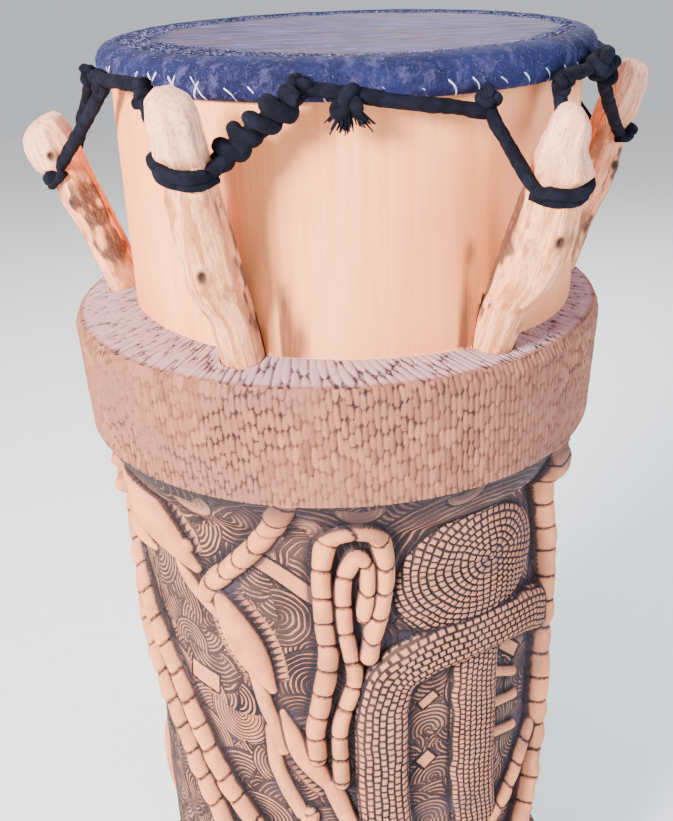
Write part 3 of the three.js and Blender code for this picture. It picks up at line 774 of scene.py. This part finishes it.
def shell_surface():
    """The plain cylinder above the collar, with faint hand-worked unevenness, painted shade down its right
    side, and painted peg shadows with stains beside the pegs.
    """
    z = np.arange(COLLAR_TOP - 60, HEAD_Z - 8, 2.0)
    profile = [(SHELL_R, height) for height in z]
    profile += [(SHELL_R, HEAD_Z - 8), (SHELL_R - 2, HEAD_Z - 3.8), (SHELL_R - 6, HEAD_Z - 1.8)]
    radius, height = (np.array([p[i] for p in profile])[:, None] for i in (0, 1))
    azimuth = azimuths_of(SMOOTH_COLUMNS)
    uneven = (value_noise(azimuth / 10.0, height / 90.0, 41, 36)
              + 0.5 * value_noise(azimuth / 3.0, height / 60.0, 42, 120))
    dent = 0.45 * uneven * smoothstep(HEAD_Z - 10, HEAD_Z - 24, height)
    points = polar(azimuth, radius + dent - 0.4, height)
    # Painted peg shadows and stains beside the peg feet, ragged at their edges.
    peg_shadow_stain = np.zeros(points.shape[:2])
    for place, foot, half_width, half_height in PEG_SHADOWS_AND_STAINS:
        turn = wrapped(azimuth - place)
        reach = np.hypot(np.radians(turn) * SHELL_R / half_width, (height - foot) / half_height)
        ragged = 0.35 * value_noise(azimuth / 2.0, height / 16.0, 43, 180)
        peg_shadow_stain = np.maximum(peg_shadow_stain, smoothstep(1.15, 0.45, reach + ragged))
    # Painted shade: the right side of the shell turns darker and more orange, most towards the collar.
    right_side_shade = smoothstep(-10, 45, wrapped(azimuth)) * smoothstep(740, 620, height)
    ends = [[0, 0, profile[0][1]], [0, 0, profile[-1][1]]]
    return closed_grid(points, ends, {"peg_shadow_stain": peg_shadow_stain, "right_side_shade": right_side_shade})


# Pegs: geometry shared by the wood, its hole and its cord

def peg_frame(peg):
    foot = polar(peg["foot"][0], peg["foot"][1], COLLAR_TOP)
    end = polar(*peg["end"])
    axis = end - foot
    length = float(np.linalg.norm(axis))
    axis = axis / length
    side = np.cross([0, 0, 1], axis)
    side /= np.linalg.norm(side)
    return foot, axis, side, np.cross(side, axis), length


def peg_radius(peg, length):
    """Distances up a peg from the collar's top, and its radius at each."""
    body, neck, loop_at = peg["body_r"], peg["neck_r"], peg["loop_at"]
    return [(-30, PEG_TIP_R - 2.0), (-26, PEG_TIP_R), (-4, PEG_TIP_R + 1.2), (25, PEG_TIP_R + 1.4),
            (46, body - 1), (64, body), (loop_at - 12, 0.5 * (body + neck)), (loop_at, neck),
            (loop_at + 8, peg["shoulder_r"]), (length - 10, peg["end_r"]),
            (length - 4, peg["end_r"] - 0.3), (length + 2.5, peg["end_r"] - 2.4),
            (length + 5.8, peg["end_r"] - 5.8), (length + 7.6, 2.5)]


def peg_hole(peg):
    """A round pin that takes the peg's place in the log, with room for it to be driven in."""
    foot, axis, _, _, _ = peg_frame(peg)
    stations = np.linspace(-HOLE_DEPTH, 24, 12)
    return tube([foot + axis * s for s in stations], HOLE_R, 36)


def hole_cutter(materials):
    """The bore, the wider mouth of the shell and the five peg holes as one solid."""
    bore = [(BORE_R + 5, -1), (BORE_R, 5), (BORE_R, COLLAR_TOP + 10)]
    cutter = turned("bore", bore, 160, materials, BORE_X, 3)
    mouth = turned("mouth", [(BORE_R - 12, COLLAR_TOP - 5), (SHELL_MOUTH_R, COLLAR_TOP + 45),
                             (SHELL_MOUTH_R, HEAD_Z - 9), (SHELL_MOUTH_R + 4, HEAD_Z)], 160, materials, 0, 3)
    boolean(cutter, mouth, "UNION")
    vertices, faces = joined([peg_hole(peg) for peg in PEGS])
    boolean(cutter, new_mesh("holes", vertices, faces, materials, 3), "UNION")
    return cutter


def make_log(materials):
    vertices, faces, indices, attributes = log_surface()
    log = new_mesh("carved_log", vertices, faces, materials, indices, attributes)
    vertices, faces, attributes = shell_surface()
    boolean(log, new_mesh("shell", vertices, faces, materials, 2, attributes), "UNION")
    boolean(log, hole_cutter(materials), "DIFFERENCE")
    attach(log, "drum")
    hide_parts("drum_body")
    return log


def make_peg(peg, material):
    """A hewn branch: facets, a barky strip, knots and an axe-cut end over a round pin."""
    foot, axis, side, out, length = peg_frame(peg)
    stations = peg_radius(peg, length)
    s = np.concatenate([np.arange(-30, length, 1.2), length + np.array([0, 1.5, 3, 4.5, 5.8, 6.8, 7.6])])
    s = s[:, None]
    radius = np.interp(s, [a for a, _ in stations], [r for _, r in stations])
    angle = np.arange(PEG_SIDES)[None, :] * TURN / PEG_SIDES
    seed = peg["seed"]
    random = np.random.default_rng(seed)
    hewn = smoothstep(14, 34, s)
    edge = np.full((len(s), PEG_SIDES), 1.02)
    for k in range(PEG_FACETS):
        direction = TURN * (k + random.uniform(-0.25, 0.25)) / PEG_FACETS
        depth = 0.93 + 0.06 * value_noise(s / 33.0 + 7 * k, k * 3.7, seed)
        turn = wrapped(angle - direction, TURN)
        facet = depth / np.cos(np.clip(turn, -1.2, 1.2))
        edge = np.where(np.abs(turn) < 1.2, np.minimum(edge, facet), edge)
    grain = 0.014 * value_noise(angle * 24 / TURN, s / 26.0, seed + 1, 24)
    dents = 0.035 * value_noise(angle * 5 / TURN, s / 11.0, seed + 4, 5)
    shape = 1 + hewn * (edge - 1 + grain + dents)
    knots = np.zeros((len(s), PEG_SIDES))
    for place, height in peg["knots"]:
        reach = np.hypot(wrapped(angle - place, TURN) * radius / 5.5, (s - height) / 8.0)
        knots = np.maximum(knots, 1 - reach)
    knots = np.clip(knots, 0, 1)
    shape = shape + 0.09 * smoothstep(0, 0.5, knots) * hewn - 0.10 * smoothstep(0.62, 0.9, knots) * hewn
    if peg["wedge"] is not None:
        turn = wrapped(angle - peg["wedge"], TURN)
        slope = np.clip((s - 66) / (length - 96), 0, 1)
        cut = (1.0 - 0.42 * (1 - slope)) / np.cos(np.clip(turn, -1.3, 1.3))
        shape = np.where(np.abs(turn) < 1.3, np.minimum(shape, np.maximum(cut, 0.6)), shape)
    reach = radius * shape
    x, y = reach * np.sin(angle), reach * np.cos(angle)
    swell = np.where(s < length - 10, radius, peg["end_r"]) - PEG_TIP_R - 1.2
    swell = np.maximum(swell, 0) * smoothstep(10, 40, s)
    lean = np.clip((s - (length - 16)) / 24, 0, 1)
    top = s - 5.0 * lean * np.cos(angle - 1.0) * (reach / peg["end_r"])
    points = (foot + axis * top[..., None] + side * x[..., None] + out * (y + swell)[..., None])
    ragged = 0.6 * value_noise(angle * 4, s / 8.0, seed + 2)
    bark = smoothstep(0.85, 0.4, np.abs(wrapped(angle - peg["bark"], TURN)) + ragged)
    bark = bark * smoothstep(6, 20, s) * smoothstep(length - 20, length - 45, s)
    layers = {"bark": bark, "knot": knots, "lx": x, "ly": y, "ls": s,
              "tip": smoothstep(length - 34, length - 12, s)}
    ends = [foot + axis * s[0], foot + axis * (s[-1] + 0.4) + out * swell[-1]]
    vertices, faces, attributes = closed_grid(points, ends, layers)
    body = new_mesh("wood_" + peg["name"], vertices, faces, [material], 0, attributes)
    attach(body, "peg_" + peg["name"])
    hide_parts("peg_" + peg["name"])
    return body


# The head

def shaved_edge(azimuth):
    """Radius of the shaved, streaky middle of the head at an azimuth."""
    places = [-180, -130, -82, -51, -19, 0, 19, 37, 58, 87, 130, 180]
    radii = [124, 118, 120, 107, 112, 126, 128, 132, 127, 132, 128, 124]
    return np.interp(wrapped(azimuth), places, radii)


def make_hide(material, hair_material):
    """The hide as one thin sheet: across the top, down over its hoop and tucked up inside the hem."""
    outer = catmull(HIDE_PROFILE, 1.3)
    along = unit(np.gradient(outer, axis=0))
    inner = outer + HIDE_THICKNESS * np.stack([-along[:, 1], along[:, 0]], -1)
    flat = np.stack([np.linspace(2, 138.5, 92), np.zeros(92)], -1)
    under = flat[::-1] - [0, HIDE_THICKNESS]
    section = np.vstack([flat, outer, inner[::-1], under])
    azimuth = azimuths_of(SMOOTH_COLUMNS)
    radius, drop = section[:, :1], section[:, 1:]
    rim = smoothstep(142, 150, radius)
    lump = (value_noise(azimuth / 9.0, drop / 9.0, 51, 40)
            + 0.6 * value_noise(azimuth / 3.0, drop / 5.0, 52, 120))
    waves = 0.25 * value_noise(azimuth / 6.0, radius / 30.0, 53, 60) * (1 - rim) * smoothstep(8, 30, radius)
    points = polar(azimuth, radius + 0.55 * rim * lump, HIDE_TOP + (drop + waves))
    ragged = 5 * value_noise(azimuth / 4.0, radius / 9.0, 54, 90)
    shaved = smoothstep(3, -5, radius - shaved_edge(azimuth) + ragged)
    ends = [[0, 0, HIDE_TOP], [0, 0, HIDE_TOP - HIDE_THICKNESS]]
    vertices, faces, attributes = closed_grid(points, ends, {"shaved": shaved})
    outward = (faces[0][:, ::-1], faces[1][:, ::-1])
    hide = new_mesh("hide_head", vertices, outward, [material], 0, attributes)
    hair = make_hair(hair_material)
    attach(hide, "drum")
    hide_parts("drum_hide")
    return hide


def make_hair(material):
    """Short dyed hair lying round the head and over its hem, each hair a thin pointed blade."""
    random = np.random.default_rng(77)
    azimuth = random.uniform(0, 360, HAIRS)
    section = catmull(HIDE_PROFILE[:9], 1.0)
    edge = shaved_edge(azimuth)
    flat_run = 140 - edge
    total = flat_run + len(section)
    t = random.uniform(0, 1, HAIRS) * total
    on_top = t < flat_run
    index = np.clip((t - flat_run).astype(int), 0, len(section) - 1)
    slope = unit(np.gradient(section, axis=0))
    radius = np.where(on_top, edge + t, section[index, 0])
    drop = np.where(on_top, 0, section[index, 1])
    run_r = np.where(on_top, 1.0, slope[index, 0])
    run_z = np.where(on_top, 0.0, slope[index, 1])
    root = polar(azimuth, radius, HIDE_TOP + drop)
    outward, around = directions(azimuth)
    normal = outward * -run_z[:, None] + UP * run_r[:, None]
    down = outward * run_r[:, None] + UP * run_z[:, None]
    comb = random.normal(0, 0.9, HAIRS)[:, None]
    lie = down * np.cos(comb) + around * np.sin(comb)
    length = (random.uniform(1.6, 3.4, HAIRS) + np.where(on_top, 0, 1.0))[:, None]
    lift = (random.uniform(0.12, 0.42, HAIRS) + np.where(on_top, 0, 0.12))[:, None]
    across = np.cross(lie, normal) * 0.17
    tip = root + lie * length + normal * length * lift
    corners = [root - across, root + across, root + normal * 0.28 - lie * 0.1, tip]
    base = 4 * np.arange(HAIRS)[:, None]
    triangles = np.concatenate([base + [0, 1, 3], base + [1, 2, 3], base + [2, 0, 3], base + [0, 2, 1]])
    faces = (np.zeros((0, 4), int), triangles)
    tint = np.repeat(random.uniform(0, 1, HAIRS), 4)
    hair = new_mesh("hide_hair", np.stack(corners, 1).reshape(-1, 3), faces, [material], 0, {"tint": tint})
    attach(hair, "drum")
    return hair


def make_lace(material):
    """White stitches that slant over the lower half of the hem and go under its edge."""
    random = np.random.default_rng(21)
    parts = []
    for k in range(STITCHES):
        azimuth = 360.0 * k / STITCHES + random.uniform(-0.7, 0.7)
        crossed = -66 < wrapped(azimuth) < -26
        for lean in (1, -1) if crossed else (1,):
            span = lean * random.uniform(1.0, 1.5)
            high = random.uniform(-9.5, -7.5) if crossed else random.uniform(-13.5, -11.5)
            line = [(azimuth - span, 149.6, high + 1.6), (azimuth - 0.85 * span, 152.4, high),
                    (azimuth, 152.7, 0.5 * (high - 16.4)), (azimuth + 0.6 * span, 152.1, -16.4),
                    (azimuth + span, 150.2, -19.0), (azimuth + 1.1 * span, 147.9, -19.3),
                    (azimuth + 1.2 * span, 147.1, -16)]
            curve = catmull([polar(a, r, HEAD_Z + z) for a, r, z in line], 0.7)
            parts.append(tube(curve, LACE_R * random.uniform(0.6, 0.85), 8, 0.8, 0.12, k))
    lace = new_mesh("lace_stitches", *joined(parts), [material])
    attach(lace, "drum")
    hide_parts("hem_lace")
    return lace


# The cord

def cord_piece(name, parts, material, body, *nodes):
    """Parts of the cord as one piece; a piece without a body is left without a parent."""
    piece = new_mesh(name, *joined(parts), [material])
    if body:
        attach(piece, body)
    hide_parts(*nodes)
    return piece


def hem_run(start, end, start_z, end_z, seed):
    """A stretch of cord that lies along the hem."""
    t = np.linspace(0, 1, max(8, int(abs(end - start) * 1.6)))
    azimuth = start + t * (end - start)
    wander = 0.7 * value_noise(t * abs(end - start) / 9.0, 0.5, seed)
    z = start_z + t * (end_z - start_z) + wander
    line = catmull(polar(azimuth, RUN_R - 0.4 + 0.4 * wander, z), 1.4)
    return tube(line, CORD_R * 0.98, 28, 0.92, 0.13, seed)


def knot(centre, radii, turn, seed, thickness=3.4):
    """An overhand knot: a trefoil of cord squeezed into a lump round a place on the hem."""
    azimuth, radius, z = centre
    t = np.linspace(0, 1.04 * TURN, 120) + seed
    along = (np.sin(t) + 1.7 * np.sin(2 * t)) / 2.6 * radii[0]
    out = -np.sin(3 * t) * radii[1] * 0.7
    up = (np.cos(t) - 1.7 * np.cos(2 * t)) / 2.6 * radii[2]
    across = along * math.cos(turn) - up * math.sin(turn)
    lifted = along * math.sin(turn) + up * math.cos(turn)
    place = polar(azimuth, radius, z)
    outward, around = directions(azimuth)
    line = place + around * across[:, None] + outward * out[:, None] + UP * lifted[:, None]
    return tube(line, thickness, 22, 0.9, 0.15, seed)


def frayed(azimuth, radius, z, count, length, spread, seed, lean=0.0):
    """Loose strands that hang from a cut end."""
    random = np.random.default_rng(seed)
    parts = []
    for _ in range(count):
        fan = random.uniform(-1, 1)
        reach = length * random.uniform(0.55, 1.0)
        bow = random.uniform(-2.5, 2.5)
        middle = azimuth + (0.4 * fan + 0.3 * lean) * spread
        tip = azimuth + (fan + lean) * spread + 0.2 * bow
        line = [(azimuth, radius, z), (middle, radius + random.uniform(-1, 3), z - 0.4 * reach),
                (tip, radius + random.uniform(-2, 4), z - reach)]
        curve = catmull([polar(a, r, h) for a, r, h in line], 1.2)
        taper = np.linspace(1.5, 0.45, len(curve))
        parts.append(tube(curve, taper, 8, 0.7, 0.2, seed))
    return parts


def hitches(line, count, core, wrap, thickness, seed):
    """Half hitches along a line: a core with an uneven helix wound round it."""
    line = catmull(line, 0.5)
    t = np.linspace(0, 1, len(line))
    along = unit(np.gradient(line, axis=0))
    first = unit(np.cross(along, UP))
    second = np.cross(along, first)
    angle = TURN * count * (t + 0.018 * np.sin(TURN * count * t + seed))
    swell = wrap * (1 + 0.16 * np.sin(angle * 0.5 + seed))
    turns = line + first * (swell * np.cos(angle))[:, None] + second * (swell * np.sin(angle))[:, None]
    return [tube(line, core, 20, 1.0, 0.1, seed), tube(turns, thickness, 20, 0.9, 0.14, seed + 1)]


def make_loop(peg, material):
    """The cord from the hem, down beside a peg, round its outer side and back up."""
    foot, axis, side, out, _ = peg_frame(peg)
    reach = peg["neck_r"] + 2.2
    swell = peg["neck_r"] - PEG_TIP_R - 1.2
    centre = foot + axis * peg["loop_at"] + out * swell
    across, inward = peg["tilt"]

    def band(angles, size, along):
        """Points round the peg's outer side, tilted across it and towards the drum."""
        return [centre + side * math.sin(a) * size + out * math.cos(a) * size
                + axis * (along - across * math.sin(a) + inward * (1 - math.cos(a)))
                for a in np.radians(angles)]

    ends = list(zip(peg["hem"], peg["hem_z"]))
    left, right = (polar(azimuth, RUN_R - 1, z) for azimuth, z in ends)
    left_top, right_top = (polar(azimuth, RUN_R - 1.5, z + 5) for azimuth, z in ends)
    first = band([-100, -60, -30, 0, 30, 60, 100], reach, 0)
    line = catmull([left_top, left, *first, right, right_top], 1.3)
    parts = [tube(line, CORD_R * 0.98, 28, 0.85, 0.14, peg["seed"])]
    second = band([-95, -60, -30, 0, 30, 60, 95], reach - 0.4, -4.8)
    parts.append(tube(catmull(second, 1.3), CORD_R * 0.8, 24, 0.9, 0.16, peg["seed"] + 1))
    for azimuth, z in ends:
        parts.append(knot((azimuth, RUN_R + 0.5, z + 4), (4.2, 3.0, 4.6), 0.6 + azimuth, peg["seed"], 2.9))
    loop = cord_piece("loop_" + peg["name"], parts, material, None, "cord_loop_" + peg["name"])
    start = polar(sum(peg["hem"]) / 2, RUN_R, sum(peg["hem_z"]) / 2 + 2)
    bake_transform(loop)
    return loop


def make_cords(material):
    for peg in PEGS:
        make_loop(peg, material)
    chain = [polar(*place) for place in CHAIN]
    parts = hitches(chain, 5, 3.8, 4.9, 4.5, 3)
    piece = cord_piece("hitch_chain", parts, material, None, "cord_hitch_chain")
    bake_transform(piece)
    for seed, (name, start, end, start_rise, end_rise) in enumerate(RUNS, 60):
        run = hem_run(start, end, HEAD_Z + start_rise, HEAD_Z + end_rise, seed)
        cord_piece("run_" + name, [run], material, "drum", "cord_run_" + name)
    parts = [knot((60, RUN_R + 3, HEAD_Z - 15), (9, 5, 6), 0.4, 5, 3.7),
             knot((64, RUN_R + 4, HEAD_Z - 18), (7, 5, 6), 1.6, 6, 3.5)]
    parts += frayed(64, RUN_R + 4, HEAD_Z - 18, 9, 14, 2.2, 8, 0.4)
    cord_piece("knot_right", parts, material, "drum", "cord_knot_right")
    parts = [knot((-1, RUN_R + 3, HEAD_Z - 19), (7, 4.5, 5), 0.9, 7, 3.4)]
    parts += frayed(-1, RUN_R + 4, HEAD_Z - 17, 44, 17, 4.6, 9)
    cord_piece("end_tuft", parts, material, "drum", "cord_end_tuft")


# Materials

def carved_material():
    """Pale carved wood, its grooves burnt dark, with painted shade in its hollows and under the collar; the
    phases of its line work are on the mesh.
    """
    m = Shader("carved_wood")
    tone, recess, smoke = m.attribute("tone"), m.attribute("recess"), m.attribute("smoke")
    fibre = m.grain((400, 400, 60), 5, 0.6)
    blotch = m.grain((28, 28, 22), 4, 0.6)
    ragged = m.times(m.math("SUBTRACT", m.grain((520, 520, 520), 2), 0.5), 0.35)
    inks = []
    for phase, duty in (("pa", "da"), ("pb", "db")):
        stripe = m.math("ADD", stripes(m, m.attribute(phase)), ragged)
        limit = m.math("SUBTRACT", 1.0, m.attribute(duty))
        cut = m.ramp(m.math("SUBTRACT", stripe, limit), -0.10, 0.12)
        inks.append(m.times(cut, m.ramp(m.attribute(duty), 0.01, 0.05)))
    ink = m.math("MAXIMUM", *inks)
    wear = m.ramp(blotch, 0.35, 0.7, 0.85, 1.0)
    ink_seen = m.times(ink, wear)
    cream = m.mix(tone, (0.36, 0.16, 0.11), (0.76, 0.25, 0.095))
    cream = m.tinge(cream, (0.42, 0.15, 0.07), blotch, 0.4, 0.68, 0.9)
    cream = m.tinge(cream, (0.27, 0.12, 0.075), fibre, 0.35, 0.75, 0.22)
    # Painted shade from the recess attribute: hollows and the band under the collar go dark.
    shade = m.times(m.ramp(recess, 0.05, 1.0), 0.9)
    color = m.mix(shade, cream, (0.026, 0.016, 0.022))
    color = m.mix(ink_seen, color, (0.009, 0.0065, 0.010))
    cloud = m.ramp(m.grain((90, 90, 90), 4), 0.25, 0.65, 0.1, 0.8)
    haze = m.times(m.times(smoke, cloud), m.ramp(recess, 0.0, 0.5, 0.35, 1.0))
    color = m.mix(haze, color, (0.035, 0.028, 0.045))
    height = m.math("SUBTRACT", m.times(fibre, 0.12), ink)
    return m.finish(color, m.ramp(fibre, 0.2, 0.8, 0.6, 0.8), m.bump(height, 0.8, 0.0008),
                    Specular_IOR_Level=0.2)


def chiselled_material():
    """Short overlapping gouge marks with dark flecks between them."""
    m = Shader("chiselled_wood")
    tint, gap, top = m.attribute("tone"), m.attribute("recess"), m.attribute("smoke")
    fibre = m.grain((500, 500, 90), 5, 0.6)
    fleck = m.grain((420, 420, 90), 3, 0.65)
    cloud = m.grain((16, 16, 30), 4, 0.55)
    wood = m.mix(tint, (0.19, 0.063, 0.036), (0.37, 0.14, 0.078))
    wood = m.tinge(wood, (0.25, 0.096, 0.062), cloud, 0.35, 0.7)
    wood = m.mix(m.times(top, 0.75), wood, (0.46, 0.29, 0.32))
    wood = m.tinge(wood, (0.20, 0.08, 0.05), fibre, 0.45, 0.75, 0.35)
    # Darker in the gaps between the gouge marks, broken into flecks.
    gap_darkening = m.times(gap, m.ramp(fleck, 0.28, 0.55, 0.25, 1.0))
    color = m.mix(m.times(gap_darkening, 0.96), wood, (0.02, 0.009, 0.012))
    height = m.math("ADD", m.times(fibre, 0.5), m.times(gap, -0.8))
    return m.finish(color, m.ramp(fibre, 0.2, 0.8, 0.65, 0.85), m.bump(height, 0.7, 0.0009),
                    Specular_IOR_Level=0.2)


def shell_material():
    """Smooth planed wood with an upright grain, painted shade down its right side, and rusty stains with
    painted peg shadows round the pegs.
    """
    m = Shader("planed_wood")
    grain = m.grain((150, 150, 5.5), 6, 0.6, 0.6)
    fine = m.grain((900, 900, 30), 3, 0.6)
    cloud = m.grain((11, 11, 5), 3, 0.5)
    wood = m.tinge((0.98, 0.385, 0.15), (0.90, 0.28, 0.095), grain, 0.3, 0.72)
    # Painted shade down the shell's right side.
    wood = m.mix(m.times(m.attribute("right_side_shade"), 0.6), wood, (0.74, 0.21, 0.07))
    wood = m.tinge(wood, (0.76, 0.22, 0.07), cloud, 0.42, 0.62, 0.6)
    wood = m.tinge(wood, (0.55, 0.22, 0.10), fine, 0.45, 0.8, 0.25)
    # Painted peg shadows and stains, broken up along the grain.
    peg_shadow_stain = m.times(m.attribute("peg_shadow_stain"), m.ramp(grain, 0.3, 0.6, 0.5, 0.95))
    color = m.mix(peg_shadow_stain, wood, (0.13, 0.036, 0.012))
    height = m.math("ADD", m.times(grain, 0.6), m.times(fine, 0.25))
    return m.finish(color, m.ramp(grain, 0.2, 0.8, 0.5, 0.65), m.bump(height, 0.35, 0.0006),
                    Specular_IOR_Level=0.3)


def bore_material():
    m = Shader("bore_wood")
    gouge = m.grain((70, 70, 18), 5, 0.6)
    color = m.tinge((0.20, 0.115, 0.07), (0.36, 0.22, 0.14), gouge, 0.3, 0.7)
    return m.finish(color, 0.85, m.bump(gouge, 0.8, 0.002))


def peg_material():
    """Debarked branch wood: pale, with brown streaks, dark knots and a strip of bark."""
    m = Shader("branch_wood")
    place = [m.attribute("lx"), m.attribute("ly"), m.times(m.attribute("ls"), 0.09)]
    place = m.node("CombineXYZ", place)
    grain = m.noise(place, 0.9, 6, 0.62, 0.5)
    fine = m.noise(place, 3.2, 3, 0.6)
    blotch = m.grain((55, 55, 28), 4, 0.6)
    streak = m.noise(place, 0.24, 4, 0.55, 0.4)
    wood = m.tinge((0.97, 0.44, 0.23), (0.84, 0.29, 0.12), grain, 0.3, 0.7)
    wood = m.tinge(wood, (0.52, 0.17, 0.06), streak, 0.45, 0.60, 0.85)
    wood = m.tinge(wood, (0.28, 0.095, 0.04), blotch, 0.52, 0.64, 0.85)
    wood = m.mix(m.times(m.attribute("tip"), 0.45), wood, (0.97, 0.52, 0.42))
    wood = m.tinge(wood, (0.36, 0.16, 0.08), fine, 0.45, 0.78, 0.5)
    vein = m.math("ABSOLUTE", m.math("SUBTRACT", m.noise(place, 0.33, 3, 0.5, 0.8), 0.5))
    wood = m.mix(m.ramp(vein, 0.0, 0.035, 0.7, 0.0), wood, (0.33, 0.12, 0.05))
    bark = m.times(m.attribute("bark"), m.ramp(fine, 0.3, 0.6, 0.7, 1.0))
    wood = m.mix(bark, wood, (0.045, 0.018, 0.012))
    ring = m.ramp(m.attribute("knot"), 0.25, 0.75)
    color = m.mix(ring, wood, (0.055, 0.018, 0.01))
    height = m.math("ADD", m.times(grain, 0.8), m.times(fine, 0.3))
    return m.finish(color, m.ramp(grain, 0.2, 0.8, 0.55, 0.75), m.bump(height, 0.6, 0.0009),
                    Specular_IOR_Level=0.3)


def hide_material():
    """Dyed hide, dark blue under its hair, with a scraped middle streaked white, mauve and brown."""
    m = Shader("dyed_hide")
    streak = m.grain((34, 240, 240), 5, 0.65, 0.8)
    cloud = m.grain((14, 26, 26), 4, 0.6, 0.6)
    pore = m.grain((900, 900, 900), 3, 0.6)
    scraped = m.tinge((0.012, 0.007, 0.032), (0.09, 0.055, 0.18), streak, 0.38, 0.66)
    scraped = m.tinge(scraped, (0.30, 0.24, 0.40), streak, 0.60, 0.72, 0.7)
    scraped = m.tinge(scraped, (0.07, 0.033, 0.035), cloud, 0.46, 0.66, 0.75)
    dyed = m.tinge((0.006, 0.007, 0.030), (0.014, 0.016, 0.07), cloud, 0.35, 0.7)
    dyed = m.tinge(dyed, (0.04, 0.04, 0.15), pore, 0.5, 0.75, 0.5)
    worn = m.grain((130, 130, 90), 5, 0.7)
    dyed = m.tinge(dyed, (0.055, 0.05, 0.125), worn, 0.48, 0.66, 0.7)
    color = m.mix(m.attribute("shaved"), dyed, scraped)
    height = m.math("ADD", m.times(pore, 0.5), m.times(streak, 0.5))
    return m.finish(color, m.ramp(m.attribute("shaved"), 0.0, 1.0, 0.9, 0.75), m.bump(height, 0.7, 0.0006),
                    Specular_IOR_Level=0.15)


def hair_material():
    m = Shader("dyed_hair")
    color = m.tinge((0.007, 0.008, 0.034), (0.24, 0.22, 0.44), m.attribute("tint"), 0.55, 1.0)
    return m.finish(color, 0.85, Specular_IOR_Level=0.2)


def cord_material():
    """Black-blue cotton: fine fibres along a soft wrinkled rag cord."""
    m = Shader("rag_cord")
    fibre = m.grain((1300, 1300, 1300), 4, 0.7)
    fade = m.grain((120, 120, 120), 4, 0.6)
    color = m.tinge((0.003, 0.003, 0.006), (0.008, 0.0085, 0.018), fade, 0.35, 0.75)
    color = m.tinge(color, (0.03, 0.032, 0.06), fibre, 0.58, 0.8, 0.5)
    return m.finish(color, 0.95, m.bump(fibre, 0.8, 0.0009), Specular_IOR_Level=0.1)


def lace_material():
    m = Shader("lace_twine")
    fibre = m.grain((1500, 1500, 1500), 3, 0.6)
    color = m.tinge((0.60, 0.58, 0.66), (0.34, 0.32, 0.42), fibre, 0.35, 0.7)
    return m.finish(color, 0.75, m.bump(fibre, 0.5, 0.0004))


def iron_material():
    m = Shader("hoop_iron")
    rust = m.grain((160, 160, 160), 5, 0.6)
    color = m.tinge((0.10, 0.095, 0.09), (0.17, 0.07, 0.035), rust, 0.45, 0.65)
    return m.finish(color, m.ramp(rust, 0.3, 0.7, 0.4, 0.8), m.bump(rust, 0.3, 0.0003), Metallic=0.8)


# Camera, light and floor

def add_camera():
    camera = bpy.data.objects.new("camera", bpy.data.cameras.new("camera"))
    bpy.context.scene.collection.objects.link(camera)
    turn = Matrix((CAMERA_RIGHT, CAMERA_UP, CAMERA_RIGHT.cross(CAMERA_UP))).transposed()
    camera.matrix_world = Matrix.Translation(CAMERA_AT) @ turn.to_4x4()
    camera.data.lens = CAMERA_LENS
    camera.data.sensor_width = 36
    camera.data.clip_start = 0.02
    bpy.context.scene.camera = camera


def add_light(name, place, aim, size, power, color):
    light = bpy.data.lights.new(name, "AREA")
    light.shape = "DISK"
    light.size = size
    light.energy = power
    light.color = color
    obj = bpy.data.objects.new(name, light)
    obj.location = place
    obj.rotation_euler = (Vector(aim) - Vector(place)).to_track_quat("-Z", "Y").to_euler()
    bpy.context.scene.collection.objects.link(obj)


def add_stage():
    corners = [(-FLOOR, -FLOOR, 0), (FLOOR, -FLOOR, 0), (FLOOR, FLOOR, 0), (-FLOOR, FLOOR, 0)]
    m = Shader("floor_paint")
    speckle = m.grain((60, 60, 60), 3)
    floor_material = m.finish(m.mix(speckle, (0.76, 0.76, 0.75), (0.80, 0.80, 0.79)), 0.8)
    faces = (np.array([[0, 1, 2, 3]]), np.zeros((0, 3), int))
    new_mesh("floor", corners, faces, [floor_material])
    world = bpy.data.worlds.new("studio")
    world.use_nodes = True
    world.node_tree.nodes["Background"].inputs["Color"].default_value = (0.93, 0.95, 1.0, 1)
    world.node_tree.nodes["Background"].inputs["Strength"].default_value = 0.68
    bpy.context.scene.world = world
    aim = (0, 0, 0.5)
    add_light("key", (-1.6, -1.75, 1.65), aim, 0.8, 330, (1.0, 0.97, 0.94))
    add_light("fill", (1.9, -0.8, 1.0), aim, 1.4, 62, (0.62, 0.76, 1.0))
    add_light("back", (0.3, 1.6, 1.8), aim, 1.2, 60, (0.92, 0.95, 1.0))


def main():
    add_camera()
    add_stage()
    make_log([carved_material(), chiselled_material(), shell_material(), bore_material()])
    wood = peg_material()
    for peg in PEGS:
        make_peg(peg, wood)
    make_hide(hide_material(), hair_material())
    make_lace(lace_material())
    make_cords(cord_material())
    hoop = bpy.data.objects["hem_hoop"]
    hoop.data.materials.clear()
    hoop.data.materials.append(iron_material())


main()
